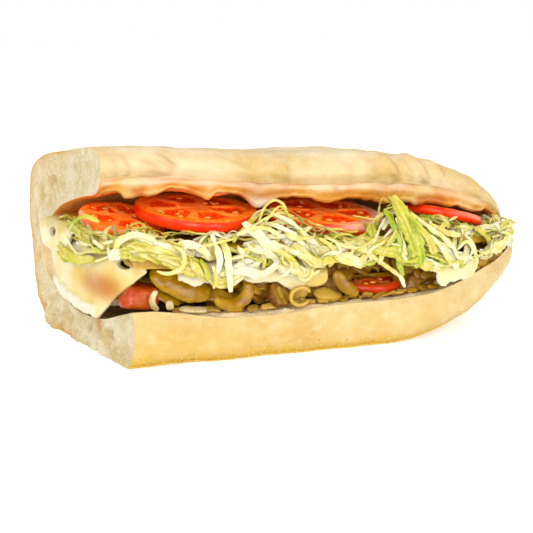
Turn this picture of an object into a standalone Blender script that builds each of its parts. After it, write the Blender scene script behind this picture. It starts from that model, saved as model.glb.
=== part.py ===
"""A half submarine sandwich: a hinged roll, cut across at one end, filled with peppers, pickles, cheese,
shredded lettuce and tomato.

Lengths are in millimetres and turn into metres where a mesh is made. X runs along the roll, from the cut
end at -X to the round tip at +X. The roll opens towards -Y, its hinge is at +Y, and Z is up.
"""

import math

import bmesh
import bpy
import numpy as np
from mathutils import Matrix, Vector
from mathutils.geometry import tessellate_polygon

MM = 0.001
GAP = 0.35  # between pieces that touch

# Roll
CUT_X = -95.0  # where the cut crosses the middle of the roll
CUT_SLANT = math.tan(math.radians(10.0))  # the knife went across at a slight angle
CUT_FADE = 45.0  # length over which the sections turn square to the roll
SHOULDER_X = 10.0  # from here the roll narrows to its tip
TIP_X = 95.5
TIP_CENTRE = (3.0, 33.0)  # Y and Z that the sections shrink towards
TIP_ROUNDNESS = 0.59
LAST_SCALE = 0.13  # the tip ends in a small flat section
LID_SHORTER = 4.5  # the lid ends before the lower half
KEEL = 1.3  # towards the tip the underside rises by this power of how far the sides have closed
EDGE_LIFT = 3.0  # rise of the lower half's front edge at the tip
# How far the lower half's front edge sags under the fillings, against X
EDGE_SAG = [
    (-95.0, 0.0), (-86.0, 0.2), (-71.0, 2.0), (-52.0, 4.9), (-38.0, 5.3), (-24.0, 5.0), (-12.0, 3.7),
    (4.0, 3.4), (20.0, 3.6), (36.0, 3.6), (48.0, 2.2), (60.0, 0.7), (80.0, 0.0),
]
HINGE = (46.0, 38.0)  # Y and Z about which the lid opens
LID_CLOSING = math.radians(5.0)  # the lid shuts by this much from the cut end to the middle
ROOF_LIFT = 2.6  # the fillings push the lid's underside up, away from the cut
OUTER_POINTS = 29
INNER_POINTS = 21
BODY_STATIONS = 13
TIP_STATIONS = 10

# Section of the roll at the cut end, as Y and Z: the crust from the lower half's front edge, under the
# roll, up the hinge and over the lid to its lip, then the crumb back to the lower half's front edge.
CRUST = [
    (-45.5, 22.0), (-47.0, 14.0), (-45.8, 6.0), (-41.5, 1.2), (-34.0, 0.0), (28.0, 0.0),
    (40.0, 1.6), (46.5, 8.0), (51.0, 27.0), (53.5, 48.0), (49.5, 62.5), (36.0, 70.5),
    (7.0, 75.4), (-10.0, 77.6), (-18.0, 76.0), (-21.0, 71.5), (-20.0, 67.0),
]
CRUMB = [
    (-20.0, 67.0), (-16.0, 61.5), (-6.0, 59.0), (7.0, 56.0), (20.5, 51.5), (33.0, 43.5),
    (41.0, 34.5), (38.5, 24.5), (24.0, 17.5), (3.0, 12.5), (-18.0, 14.0), (-34.0, 18.5),
    (-45.5, 22.0),
]

# Tomato slices: centre, radius, thickness, tilt down to the front and tilt down to the tip in degrees
TOP_TOMATOES = [
    ((-79.2, -2.5, 48.2), 17.0, 4.8, 11.0, 7.5),
    ((-51.2, -9.2, 51.0), 24.2, 4.6, 6.0, 3.0),
    ((3.0, -9.6, 46.8), 23.8, 4.4, 6.0, 3.0),
    ((57.0, -5.0, 43.6), 18.0, 4.0, -7.0, 13.5),
]
LOW_TOMATO = ((14.5, -24.5, 22.0), 13.6, 3.6, 5.0, 1.0)
WEDGE_SIZE = (11.0, 19.0, 8.6)
WEDGE_CENTRE = (-79.4, -29.8, 24.6)
TOMATO_SIDES = 26
TOMATO_BEVEL = 1.3

# Lettuce heap, from the cut to the tip
LETTUCE_ENDS = (CUT_X + 1.5, 83.0)
LETTUCE_FRONT = -41.5
LETTUCE_GRID = (30, 14)  # points along and across
TUFTS = [(-22.5, 6.5, 6.0), (30.0, 7.0, 7.0), (76.0, 3.0, 5.0)]  # place, height and spread

# Layer of chopped peppers and pickles behind the strips that show
PEPPER_ENDS = (CUT_X + 7.0, 66.0)
PEPPER_FRONT = -29.5
PEPPER_GRID = (18, 8)
PEPPER_BELOW = 7.4  # its top, under the cheese, lies this much below the lettuce
PEPPER_RISE = 5.8  # and rises by this much behind the cheese

HEAP_CLEARANCE = 2.2  # of both heaps above the crumb, which is uneven between sections
CHIP_SIDES = 24

CHEESE_THICKNESS = 1.9
CHEESE_BEND = 3.4  # radius of the turn where a slice starts to hang

COLLECTION = "submarine_sandwich"
CUTTERS = "cutters"


def smoothstep(value):
    value = min(max(value, 0.0), 1.0)
    return value * value * (3.0 - 2.0 * value)


# ---------------------------------------------------------------- curves and meshes


def smooth_path(points, count):
    """Evenly spaced points on a Catmull-Rom curve through the given ones."""
    given = np.array(points, float)
    ends = np.vstack([2 * given[0] - given[1], given, 2 * given[-1] - given[-2]])
    dense = []
    for a, b, c, d in zip(ends, ends[1:], ends[2:], ends[3:]):
        for t in np.linspace(0.0, 1.0, 16, endpoint=False):
            bend, twist = 2 * a - 5 * b + 4 * c - d, 3 * b - a - 3 * c + d
            dense.append(0.5 * (2 * b + (c - a) * t + bend * t**2 + twist * t**3))
    dense.append(given[-1])
    dense = np.array(dense)
    along = np.concatenate([[0.0], np.cumsum(np.linalg.norm(np.diff(dense, axis=0), axis=1))])
    at = np.linspace(0.0, along[-1], count)
    return np.stack([np.interp(at, along, dense[:, i]) for i in range(dense.shape[1])], axis=1)


def add_object(name, mesh, material):
    mesh.materials.append(material)
    mesh.shade_smooth()
    mesh.set_sharp_from_angle(angle=math.radians(50.0))
    piece = bpy.data.objects.new(name, mesh)
    bpy.data.collections[COLLECTION].objects.link(piece)
    return piece


def mesh_from(name, build):
    """A mesh filled by a function that works on a bmesh in millimetres."""
    shape = bmesh.new()
    build(shape)
    bmesh.ops.recalc_face_normals(shape, faces=shape.faces)
    bmesh.ops.scale(shape, vec=(MM, MM, MM), verts=shape.verts)
    mesh = bpy.data.meshes.new(name)
    shape.to_mesh(mesh)
    shape.free()
    return mesh


def loft(name, rings):
    """A closed body through rings of equally many points, with a flat cap on each end."""

    def build(shape):
        rows = [[shape.verts.new(point) for point in ring] for ring in rings]
        for near, far in zip(rows, rows[1:]):
            for i in range(len(near)):
                j = (i + 1) % len(near)
                shape.faces.new((near[i], near[j], far[j], far[i]))
        for row in (rows[0], rows[-1]):
            for corners in tessellate_polygon([[vert.co for vert in row]]):
                shape.faces.new([row[i] for i in corners])

    return mesh_from(name, build)


def sheet(name, rows, thickness):
    """A thin closed body about a grid of points."""

    def build(shape):
        grid = [[shape.verts.new(point) for point in row] for row in rows]
        for near, far in zip(grid, grid[1:]):
            for i in range(len(near) - 1):
                shape.faces.new((near[i], near[i + 1], far[i + 1], far[i]))
        bmesh.ops.recalc_face_normals(shape, faces=shape.faces)
        shape.normal_update()
        inner = shape.faces[:]
        offset = {v: v.co - v.normal * thickness / 2 for v in shape.verts}
        top = {v: v.co + v.normal * thickness / 2 for v in shape.verts}
        copy = bmesh.ops.duplicate(shape, geom=shape.verts[:] + shape.edges[:] + inner)
        twins = copy["vert_map"]
        border = [edge for edge in shape.edges if edge.is_boundary and edge.verts[0] in offset]
        for vert, place in offset.items():
            twins[vert].co = place
        for vert, place in top.items():
            vert.co = place
        for edge in border:
            a, b = edge.verts
            shape.faces.new((a, b, twins[b], twins[a]))

    return mesh_from(name, build)


# ---------------------------------------------------------------- the roll


def open_lid(points, x):
    """Turns the points above the hinge down about it, by as much as the lid shuts at x."""
    angle = LID_CLOSING * smoothstep((x - CUT_X - 8.0) / 95.0)
    turned = []
    for y, z in points:
        share = angle * smoothstep((z - HINGE[1] + 2.0) / 16.0)
        dy, dz = y - HINGE[0], z - HINGE[1]
        turned.append(
            (
                HINGE[0] + dy * math.cos(share) - dz * math.sin(share),
                HINGE[1] + dy * math.sin(share) + dz * math.cos(share),
            )
        )
    return turned


def tip_scale(x):
    share = min(max((x - SHOULDER_X) / (TIP_X - SHOULDER_X), 0.0), 1.0)
    return max(1.0 - share * share, 0.0) ** TIP_ROUNDNESS


def lip_wave(x):
    """How far the lid's cut lip hangs lower, as the soft crumb sags unevenly."""
    return 0.9 * math.sin(x / 9.0 + 0.8) + 0.7 * math.sin(x / 4.3)


def section(x):
    """The crust and the crumb outline of the roll at x, as arrays of Y and Z."""
    roof = ROOF_LIFT * smoothstep((x - CUT_X - 6.0) / 18.0)
    crumb = []
    for y, z in CRUMB:
        share = smoothstep((y + 12.0) / 14.0) * smoothstep((44.0 - y) / 12.0) if z > 40.0 else 0.0
        crumb.append((y, z + roof * share))
    crumb[1] = (crumb[1][0], crumb[1][1] - lip_wave(x))
    scale = tip_scale(x)
    lift = EDGE_LIFT * (1.0 - scale)
    sag = float(np.interp(x, [row[0] for row in EDGE_SAG], [row[1] for row in EDGE_SAG]))
    outlines = []
    for points, count in ((CRUST, OUTER_POINTS), (crumb, INNER_POINTS)):
        path = smooth_path(open_lid(points, x), count)
        y = TIP_CENTRE[0] + (path[:, 0] - TIP_CENTRE[0]) * scale
        low = path[:, 1] < TIP_CENTRE[1]
        z = TIP_CENTRE[1] + (path[:, 1] - TIP_CENTRE[1]) * np.where(low, scale**KEEL, scale)
        front = np.clip((-path[:, 0] - 20.0) / 25.0, 0.0, 1.0)
        high = np.clip((path[:, 1] - 8.0) / 14.0, 0.0, 1.0)
        rise = (lift * front - sag * front**2) * high * low
        outlines.append(np.stack([y, np.maximum(z + rise, 0.0)], axis=1))
    return outlines


def slant(x, y, z=0.0):
    """Where a section's point lies along the roll: on the slanted cut, or further back in the lid's tip."""
    shorter = LID_SHORTER * (1.0 - tip_scale(x)) * smoothstep((z - TIP_CENTRE[1] + 6.0) / 12.0)
    return x - y * CUT_SLANT * smoothstep(1.0 - (x - CUT_X) / CUT_FADE) - shorter


def stations():
    body = np.linspace(CUT_X, SHOULDER_X, BODY_STATIONS, endpoint=False)
    last = math.asin(math.sqrt(1.0 - LAST_SCALE ** (1.0 / TIP_ROUNDNESS)))
    tip = SHOULDER_X + (TIP_X - SHOULDER_X) * np.sin(np.linspace(0.0, last, TIP_STATIONS))
    return [float(x) for x in (*body, *tip)]


def bread_roll(material):
    rings = []
    for x in stations():
        crust, crumb = section(x)
        outline = np.concatenate([crust, crumb[1:-1]])
        rings.append([(slant(x, y, z), y, z) for y, z in outline])
    return add_object("bread_roll", loft("bread_roll", rings), material)


def hollow(x):
    """Functions for the height of the crumb under and over the fillings at x, against Y."""
    crumb = section(x)[1]
    back = int(np.argmax(crumb[:, 0]))
    roof, floor = crumb[: back + 1], crumb[back:][::-1]
    return (
        lambda y: float(np.interp(y, floor[:, 0], floor[:, 1])),
        lambda y: float(np.interp(y, roof[:, 0], roof[:, 1])),
        float(crumb[back, 0]),
    )


# ---------------------------------------------------------------- tomato


def slice_matrix(centre, forward, tipward):
    turn = Matrix.Rotation(math.radians(forward), 4, "X") @ Matrix.Rotation(math.radians(tipward), 4, "Y")
    return Matrix.Translation(Vector(centre)) @ turn


def tomato_slice(name, spec, material, cut=False):
    centre, radius, thickness, forward, tipward = spec
    place = slice_matrix(centre, forward, tipward)

    def build(shape):
        bmesh.ops.create_cone(
            shape, cap_ends=True, segments=TOMATO_SIDES, radius1=radius, radius2=radius, depth=thickness
        )
        for vert in shape.verts:
            angle = math.atan2(vert.co.y, vert.co.x)
            bulge = 1.0 + 0.025 * math.cos(3 * angle + centre[0]) + 0.012 * math.cos(5 * angle + 1.0)
            vert.co.x *= bulge
            vert.co.y *= bulge
        rims = [edge for edge in shape.edges if abs(edge.verts[0].co.z - edge.verts[1].co.z) < 0.01]
        bmesh.ops.bevel(shape, geom=rims, offset=TOMATO_BEVEL, segments=2, profile=0.5, affect="EDGES")
        bmesh.ops.transform(shape, matrix=place, verts=shape.verts)
        if cut:
            edge = bmesh.ops.bisect_plane(
                shape,
                geom=shape.verts[:] + shape.edges[:] + shape.faces[:],
                plane_co=(CUT_X + 0.8, 0.0, 0.0),
                plane_no=(-1.0, -CUT_SLANT, 0.0),
                clear_outer=True,
            )
            rim = [item for item in edge["geom_cut"] if isinstance(item, bmesh.types.BMEdge)]
            bmesh.ops.holes_fill(shape, edges=rim)

    return add_object(name, mesh_from(name, build), material)


def slice_underside(spec, x, y):
    """Height at x and y of the plane of a slice's lower face."""
    centre, _, thickness, forward, tipward = spec
    rise = math.tan(math.radians(forward)) * (y - centre[1])
    fall = math.tan(math.radians(tipward)) * (x - centre[0])
    return centre[2] + rise - fall - thickness / 2


def tomato_wedge(name, material):
    """A thick cut end of a tomato, lying on its side on the lower crumb."""

    def build(shape):
        bmesh.ops.create_cube(shape, size=1.0)
        bmesh.ops.scale(shape, vec=WEDGE_SIZE, verts=shape.verts)
        for vert in shape.verts:
            if vert.co.z > 0:
                vert.co.x = vert.co.x * 0.86 + 0.6
                vert.co.y *= 0.9
        bmesh.ops.bevel(shape, geom=shape.edges[:], offset=1.8, segments=2, profile=0.5, affect="EDGES")
        turn = Matrix.Rotation(math.radians(6.0), 4, "Y") @ Matrix.Rotation(math.radians(-6.0), 4, "Z")
        bmesh.ops.transform(shape, matrix=Matrix.Translation(WEDGE_CENTRE) @ turn, verts=shape.verts)

    return add_object(name, mesh_from(name, build), material)


# ---------------------------------------------------------------- cheese


def draped_slice(name, start, heading, width, run, drop, hem, material, slope=0.0, bow=0.0):
    """A cheese slice that lies flat, then turns down over the edge of the fillings and hangs.

    start is the middle of its hidden edge, heading its direction in degrees from -Y towards -X, run the
    flat length and drop the hanging length; hem gives the share of drop across the width, from -1 to 1.
    slope tips it sideways, and bow draws its sides back from the middle of the hem.
    """
    angle = math.radians(heading)
    ahead = Vector((-math.sin(angle), -math.cos(angle), 0.0))
    side = Vector((math.cos(angle), -math.sin(angle), 0.0))
    bend = CHEESE_BEND * math.pi / 2
    rows = []
    for u in np.linspace(-1.0, 1.0, 10):
        length = run + bend + max(drop * hem(u), 0.3)
        row = []
        for s in (0.0, run / 2, run, run + bend / 3, run + 2 * bend / 3, run + bend, length):
            flat = min(s, run)
            arc = min(max(s - run, 0.0), bend) / CHEESE_BEND
            tail = max(s - run - bend, 0.0)
            forward = flat + CHEESE_BEND * math.sin(arc) - bow * u * u * s / length
            down = CHEESE_BEND * (1.0 - math.cos(arc)) + tail
            place = Vector(start) + ahead * forward + side * (u * width / 2)
            row.append(place + Vector((0.0, 0.0, -down - slope * u * width / 2)))
        rows.append(row)
    return add_object(name, sheet(name, rows, CHEESE_THICKNESS), material)


def cheese_slices(material):
    """Two slices hang out of the cut end, and four over the front."""

    def corner(u):
        return 1.0 - 1.45 * (u - 0.32) if u > 0.32 else 1.0 - 0.2 * (0.32 - u)

    def rounded(u):
        return math.sqrt(max(1.0 - abs(u) ** 3, 0.0))

    def ragged(u):
        return 0.75 + 0.2 * math.cos(5.0 * u + 0.6) - 0.35 * abs(u) ** 3

    def lobed(u):
        return 0.45 + 0.55 * math.exp(-(((u - 0.55) / 0.4) ** 2)) - 0.3 * abs(u) ** 6

    hang = draped_slice
    return [
        hang("cheese_cut_end_low", (-78.2, -2.4, 38.4), 75.0, 70.0, 15.4, 20.4, corner, material, bow=8.0),
        hang("cheese_cut_end_high", (-86.8, 14.6, 44.4), 80.0, 30.0, 13.0, 6.0, rounded, material, bow=1.0),
        hang("cheese_front_1", (-59.2, 12.0, 35.8), 0.0, 19.6, 51.4, 2.6, ragged, material),
        hang("cheese_front_2", (-30.0, 12.0, 34.6), 0.0, 27.0, 49.5, 7.0, lobed, material),
        hang("cheese_front_3", (-11.4, 8.0, 31.6), 3.0, 11.2, 43.0, 3.6, rounded, material),
        hang("cheese_tip", (37.8, -8.0, 29.5), -14.0, 19.0, 31.0, 4.0, rounded, material, slope=-0.12),
    ]


# ---------------------------------------------------------------- peppers, pickles and onion


def strip(name, points, width, thickness, face, material, sides=10, steps=10, taper=0.55):
    """A strip of vegetable along a smooth path: an oval section whose wide side faces the given way."""
    path = smooth_path(points, steps)
    rings = []
    for i, place in enumerate(path):
        ahead = Vector(path[min(i + 1, len(path) - 1)] - path[max(i - 1, 0)]).normalized()
        out = Vector(face) - Vector(face).dot(ahead) * ahead
        out.normalize()
        along_width = ahead.cross(out)
        end = abs(2.0 * i / (len(path) - 1) - 1.0)
        size = 1.0 - (1.0 - taper) * end**4
        ring = []
        for turn in np.linspace(0.0, 2.0 * math.pi, sides, endpoint=False):
            wide = math.copysign(abs(math.cos(turn)) ** 0.75, math.cos(turn))
            thick = math.copysign(abs(math.sin(turn)) ** 0.75, math.sin(turn))
            offset = along_width * (wide * size * width / 2) + out * (thick * size * thickness / 2)
            ring.append(Vector(place) + offset)
        rings.append(ring)
    return add_object(name, loft(name, rings), material)


def chip(name, centre, radius, thickness, forward, heading, ribs, material):
    """A round pickle chip with a crinkled rim, leaning forward and turned to a heading, in degrees."""
    turn = Matrix.Rotation(math.radians(heading), 4, "Z") @ Matrix.Rotation(math.radians(forward), 4, "X")

    def build(shape):
        bmesh.ops.create_cone(
            shape, cap_ends=True, segments=CHIP_SIDES, radius1=radius, radius2=radius, depth=thickness
        )
        for vert in shape.verts:
            angle = math.atan2(vert.co.y, vert.co.x)
            rib = 1.0 + 0.035 * math.cos(ribs * angle)
            vert.co.x *= rib
            vert.co.y *= rib
        rims = [edge for edge in shape.edges if abs(edge.verts[0].co.z - edge.verts[1].co.z) < 0.01]
        bmesh.ops.bevel(shape, geom=rims, offset=0.6, segments=2, profile=0.5, affect="EDGES")
        bmesh.ops.transform(shape, matrix=Matrix.Translation(centre) @ turn, verts=shape.verts)

    return add_object(name, mesh_from(name, build), material)


def arc_points(centre, radius_x, radius_z, start, end, depth, count=9):
    """Points on an upright oval arc that leans back by depth along its length; angles in degrees."""
    points = []
    for share in np.linspace(0.0, 1.0, count):
        angle = math.radians(start + (end - start) * share)
        points.append(
            (
                centre[0] + radius_x * math.cos(angle),
                centre[1] + depth * share,
                centre[2] + radius_z * math.sin(angle),
            )
        )
    return points


def pepper_pieces(material):
    """Pickled pepper strips and pickle chips, lying on the lower crumb under the cheese."""
    long_strip = [
        (-76.6, -34.0, 35.0), (-72.0, -36.6, 31.6), (-66.0, -37.6, 28.0), (-59.0, -37.6, 26.0),
        (-54.6, -36.8, 25.8),
    ]
    ring = arc_points((-47.3, -40.8, 26.5), 7.2, 6.0, 200.0, 395.0, 4.0)
    bent = [(-5.4, -38.8, 30.2), (-3.6, -39.6, 27.0), (-0.8, -40.2, 23.6), (3.8, -40.6, 20.4)]
    pale = [(-14.0, -38.4, 22.0), (-8.5, -39.0, 21.3), (-4.2, -36.0, 20.6), (-2.6, -30.0, 20.3)]
    tip_strip = [(66.0, -18.0, 28.2), (71.0, -19.5, 29.4), (76.0, -17.0, 31.0)]
    tip_curl = arc_points((79.5, -13.0, 33.6), 4.2, 4.2, 190.0, 340.0, 4.0)
    small_ring = arc_points((-21.2, -43.4, 22.3), 4.0, 3.4, 20.0, 330.0, 0.6)
    return [
        strip("pepper_strip_long", long_strip, 9.0, 3.6, (0.0, -0.93, 0.36), material),
        strip("pepper_ring", ring, 5.0, 3.2, (0.1, -0.9, 0.4), material, steps=13),
        chip("pickle_chip_1", (-28.6, -39.2, 22.8), 5.3, 2.8, 58.0, 24.0, 8, material),
        strip("pepper_ring_small", small_ring, 1.6, 1.6, (0.0, -1.0, 0.2), material, 8, 14, 0.8),
        strip("pepper_strip_bent", bent, 4.8, 2.2, (-0.3, -0.9, 0.3), material),
        strip("pepper_strip_pale", pale, 6.0, 2.6, (0.0, -0.6, 0.8), material),
        chip("pickle_chip_2", (26.6, -33.0, 30.4), 5.6, 3.0, 58.0, -16.0, 8, material),
        strip("pepper_tip_strip", tip_strip, 5.4, 3.0, (0.0, -0.8, 0.6), material, steps=7),
        strip("pepper_tip_curl", tip_curl, 5.0, 2.6, (0.0, -1.0, 0.2), material, steps=8),
    ]


def onion_pieces(material):
    """Strips of raw onion by the front edge of the lower half."""
    hook = arc_points((-74.6, -42.8, 25.2), 4.0, 4.0, 120.0, 250.0, 1.0)
    upright = [(-72.4, -42.6, 24.8), (-72.2, -42.8, 22.8), (-72.0, -42.9, 21.2)]
    flat = [(-68.6, -42.2, 21.2), (-63.2, -43.0, 20.6), (-58.0, -43.2, 20.2)]
    return [
        strip("onion_hook", hook, 2.4, 1.2, (-0.5, -0.85, 0.1), material, sides=8, steps=8),
        strip("onion_upright", upright, 3.0, 1.4, (0.0, -0.95, 0.3), material, sides=8, steps=5),
        strip("onion_flat", flat, 3.0, 1.6, (0.0, -0.5, 0.85), material, sides=8, steps=7),
    ]


# ---------------------------------------------------------------- lettuce


def heap_base(x):
    """Height of the heap's underside: it lies on the cheese, lower towards the tip."""
    return 40.0 - 4.2 * smoothstep((x + 85.0) / 80.0) - 6.2 * smoothstep((x - 15.0) / 60.0)


def uneven(x, y, size):
    broad = math.sin(x / 5.3 + y / 8.1) * math.cos(y / 4.7 - x / 11.0)
    return size * (broad + 0.6 * math.sin(x / 2.9 + 1.7) * math.cos(y / 3.7))


def heap_top(x, y):
    """Height of the heap under the tomato slices, with a tuft pushed up in front where two slices part."""
    inside = min(x, TOP_TOMATOES[-1][0][0] + TOP_TOMATOES[-1][1])
    near = [spec for spec in TOP_TOMATOES if abs(inside - spec[0][0]) < spec[1] + 8.0]
    under = min(slice_underside(spec, inside, y) for spec in near)
    tuft = sum(height * math.exp(-(((x - at) / spread) ** 2)) for at, height, spread in TUFTS)
    nearest = min(math.hypot(x - spec[0][0], y - spec[0][1]) - spec[1] for spec in TOP_TOMATOES)
    return under - 1.2 + tuft * smoothstep((nearest - 1.0) / 5.0) * smoothstep((-y - 18.0) / 8.0)


def heap(name, ends, front, grid, surfaces, material):
    """An uneven heap in the roll's hollow, between two surfaces that a function of place and Y gives."""
    rings = []
    for x in np.linspace(*ends, grid[0]):
        floor, roof, back = hollow(x)
        first = TIP_CENTRE[0] + (front - TIP_CENTRE[0]) * (0.3 + 0.7 * tip_scale(x))
        last = back - 4.5
        while last > 0.0 and roof(last) - max(surfaces(x, last)[0], floor(last)) < 6.0:
            last -= 1.0
        top, bottom = [], []
        for i, y in enumerate(np.linspace(first, last, grid[1])):
            place = slant(x, y)
            lower, upper = surfaces(place, y)
            lower = max(lower, floor(y) + HEAP_CLEARANCE)
            upper = min(upper, roof(y) - GAP - 0.8)
            nose = smoothstep(i / 2.0)
            middle = (upper + lower) / 2
            half = max((upper - lower) / 2, 1.2) * (0.45 + 0.55 * nose)
            forward = uneven(x, 40.0, 1.8) * (1.0 - nose)
            top.append((place, y + forward, middle + half))
            bottom.append((place, y + forward, middle - half))
        rings.append(top + bottom[::-1])
    return add_object(name, loft(name, rings), material)


def lettuce_heap(material):
    """The heap of shreds between the cheese and the tomato, out to its uneven outline."""

    def surfaces(x, y):
        return heap_base(x) + uneven(y, x, 0.6) + 0.6, heap_top(x, y) + uneven(x, y, 0.5)

    return heap("lettuce_heap", LETTUCE_ENDS, LETTUCE_FRONT, LETTUCE_GRID, surfaces, material)


def pepper_layer(material):
    """Chopped peppers and pickles on the lower crumb, behind the strips that show."""

    def surfaces(x, y):
        rise = PEPPER_RISE * smoothstep((y - 13.0) / 5.0)
        return 0.0, heap_base(x) - PEPPER_BELOW + rise + uneven(y, x, 0.5)

    return heap("pepper_layer", PEPPER_ENDS, PEPPER_FRONT, PEPPER_GRID, surfaces, material)


def make_room(mass, neighbours):
    """Cuts the pieces pressed into a heap out of it, with a gap all round, and returns the cutters."""
    cutters = []
    for neighbour in neighbours:
        mesh = neighbour.data.copy()
        shape = bmesh.new()
        shape.from_mesh(mesh)
        shape.normal_update()
        for vert in shape.verts:
            vert.co += vert.normal * vert.calc_shell_factor() * GAP * MM
        shape.to_mesh(mesh)
        shape.free()
        cutter = bpy.data.objects.new(f"{mass.name}_room_for_{neighbour.name}", mesh)
        cutter.hide_render = True
        cutter.display_type = "WIRE"
        bpy.data.collections[CUTTERS].objects.link(cutter)
        cut = mass.modifiers.new(cutter.name, "BOOLEAN")
        cut.operation = "DIFFERENCE"
        cut.object = cutter
        cutters.append(cutter)
    return cutters


# ---------------------------------------------------------------- the sandwich


def food_material(name, colour, roughness):
    material = bpy.data.materials.new(name)
    material.use_nodes = True
    shader = material.node_tree.nodes["Principled BSDF"]
    shader.inputs["Base Color"].default_value = (*colour, 1.0)
    shader.inputs["Roughness"].default_value = roughness
    shader.inputs["Metallic"].default_value = 0.0
    return material


def stand_on_origin(pieces, cutters):
    """Parents everything to an empty, so that the middle of the whole's underside is at the origin."""
    bpy.context.view_layer.update()
    corners = np.array([Vector(corner) for piece in pieces for corner in piece.bound_box])
    low, high = corners.min(axis=0), corners.max(axis=0)
    holder = bpy.data.objects.new("sandwich_origin", None)
    bpy.data.collections[COLLECTION].objects.link(holder)
    for piece in pieces + cutters:
        piece.parent = holder
    holder.location = (-(low[0] + high[0]) / 2, -(low[1] + high[1]) / 2, -low[2])


def main():
    for old in list(bpy.data.objects):
        bpy.data.objects.remove(old)
    for name in (COLLECTION, CUTTERS):
        bpy.context.scene.collection.children.link(bpy.data.collections.new(name))

    bread = food_material("bread", (0.80, 0.55, 0.26), 0.6)
    tomato = food_material("tomato", (0.75, 0.06, 0.02), 0.25)
    cheese = food_material("cheese", (0.88, 0.80, 0.52), 0.4)
    pepper = food_material("green_pepper", (0.33, 0.30, 0.04), 0.3)
    onion = food_material("onion", (0.85, 0.82, 0.70), 0.35)
    lettuce = food_material("lettuce", (0.62, 0.70, 0.25), 0.45)

    roll = bread_roll(bread)
    top_tomatoes = [
        tomato_slice(f"tomato_slice_{number}", spec, tomato, cut=number == 1)
        for number, spec in enumerate(TOP_TOMATOES, 1)
    ]
    low_tomatoes = [
        tomato_slice("tomato_low_slice", LOW_TOMATO, tomato),
        tomato_wedge("tomato_low_wedge", tomato),
    ]
    slices = cheese_slices(cheese)
    peppers = pepper_pieces(pepper)
    onions = onion_pieces(onion)
    shreds = lettuce_heap(lettuce)
    layer = pepper_layer(pepper)
    cutters = make_room(shreds, top_tomatoes + slices + peppers)
    cutters += make_room(layer, low_tomatoes + slices + peppers)
    pieces = [roll, *top_tomatoes, *low_tomatoes, *slices, *peppers, *onions, shreds, layer]
    stand_on_origin(pieces, cutters)


main()
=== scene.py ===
"""The looks of half a submarine sandwich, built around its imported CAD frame.

Places and sizes are in millimetres, in the sandwich's own directions: X along the roll from the cut end
to the tip, -Y the open front, Z up. ORIGIN moves them into the row frame when a mesh is made.
"""

import math
import random

import bmesh
import bpy
import numpy as np
from mathutils import Matrix, Vector


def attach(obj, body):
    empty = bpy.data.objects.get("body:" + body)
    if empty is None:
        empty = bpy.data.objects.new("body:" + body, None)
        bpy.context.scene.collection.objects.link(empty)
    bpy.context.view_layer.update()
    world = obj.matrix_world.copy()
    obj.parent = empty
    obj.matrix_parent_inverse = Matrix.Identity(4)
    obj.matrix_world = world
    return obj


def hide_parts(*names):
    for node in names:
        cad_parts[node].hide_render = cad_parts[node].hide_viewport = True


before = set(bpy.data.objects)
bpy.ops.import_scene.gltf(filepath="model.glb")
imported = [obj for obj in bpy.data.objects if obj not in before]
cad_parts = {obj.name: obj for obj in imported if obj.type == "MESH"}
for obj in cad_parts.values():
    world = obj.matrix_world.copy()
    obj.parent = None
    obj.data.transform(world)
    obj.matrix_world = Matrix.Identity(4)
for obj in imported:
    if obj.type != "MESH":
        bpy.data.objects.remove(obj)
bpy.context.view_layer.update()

MM = 0.001
ORIGIN = np.array([6.13, -3.25, 0])

# The roll, as in the CAD
CUT_X = -95
CUT_SLANT = math.tan(math.radians(10))
CUT_FADE = 45
SHOULDER_X = 10
TIP_X = 95.5
TIP_CENTRE = (3, 33)
TIP_ROUNDNESS = 0.59
LID_SHORTER = 4.5
KEEL = 1.3
EDGE_LIFT = 3
# How far the lower half's front edge sags, by X
EDGE_SAG = [
    (-95, 0), (-86, 0.2), (-71, 2), (-52, 4.9), (-38, 5.3), (-24, 5), (-12, 3.7),
    (4, 3.4), (20, 3.6), (36, 3.6), (48, 2.2), (60, 0.7), (80, 0),
]
# Where the lid turns, as Y and Z, how far it shuts towards the tip, and how far the fillings lift its roof
HINGE = (46, 38)
LID_CLOSING = math.radians(5)
ROOF_LIFT = 2.6
# The section as Y and Z: the crust from the lower lip round to the lid's lip, and the crumb from there back
CRUST = [
    (-45.5, 22), (-47, 14), (-45.8, 6), (-41.5, 1.2), (-34, 0), (28, 0),
    (40, 1.6), (46.5, 8), (51, 27), (53.5, 48), (49.5, 62.5), (36, 70.5),
    (7, 75.4), (-10, 77.6), (-18, 76), (-21, 71.5), (-20, 67),
]
CRUMB = [
    (-20, 67), (-16, 61.5), (-6, 59), (7, 56), (20.5, 51.5), (33, 43.5),
    (41, 34.5), (38.5, 24.5), (24, 17.5), (3, 12.5), (-18, 14), (-34, 18.5),
    (-45.5, 22),
]
# How many points the roll is built from
ROLL_STATIONS = 200
CRUST_POINTS = 400
CRUMB_POINTS = 130
CUT_DEPTH_POINTS = 44

# Tomato slices: centre, radius, thickness, tilt down to the front and tilt down to the tip in degrees
TOP_TOMATOES = [
    ((-79.2, -2.5, 48.2), 17, 4.8, 11, 7.5),
    ((-51.2, -9.2, 51), 24.2, 4.6, 6, 3),
    ((3, -9.6, 46.8), 23.8, 4.4, 6, 3),
    ((57, -5, 43.6), 18, 4, -7, 13.5),
]
# The slice low in the fillings, given the same way
LOW_TOMATO = ((14.5, -24.5, 22), 13.6, 3.6, 5, 1)
WEDGE_SIZE = (11, 19, 8.6)
WEDGE_CENTRE = (-79.4, -29.8, 24.6)

CHEESE_THICKNESS = 1.9
CHEESE_BEND = 3.4
CHEESE_COLUMNS = 90

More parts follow.
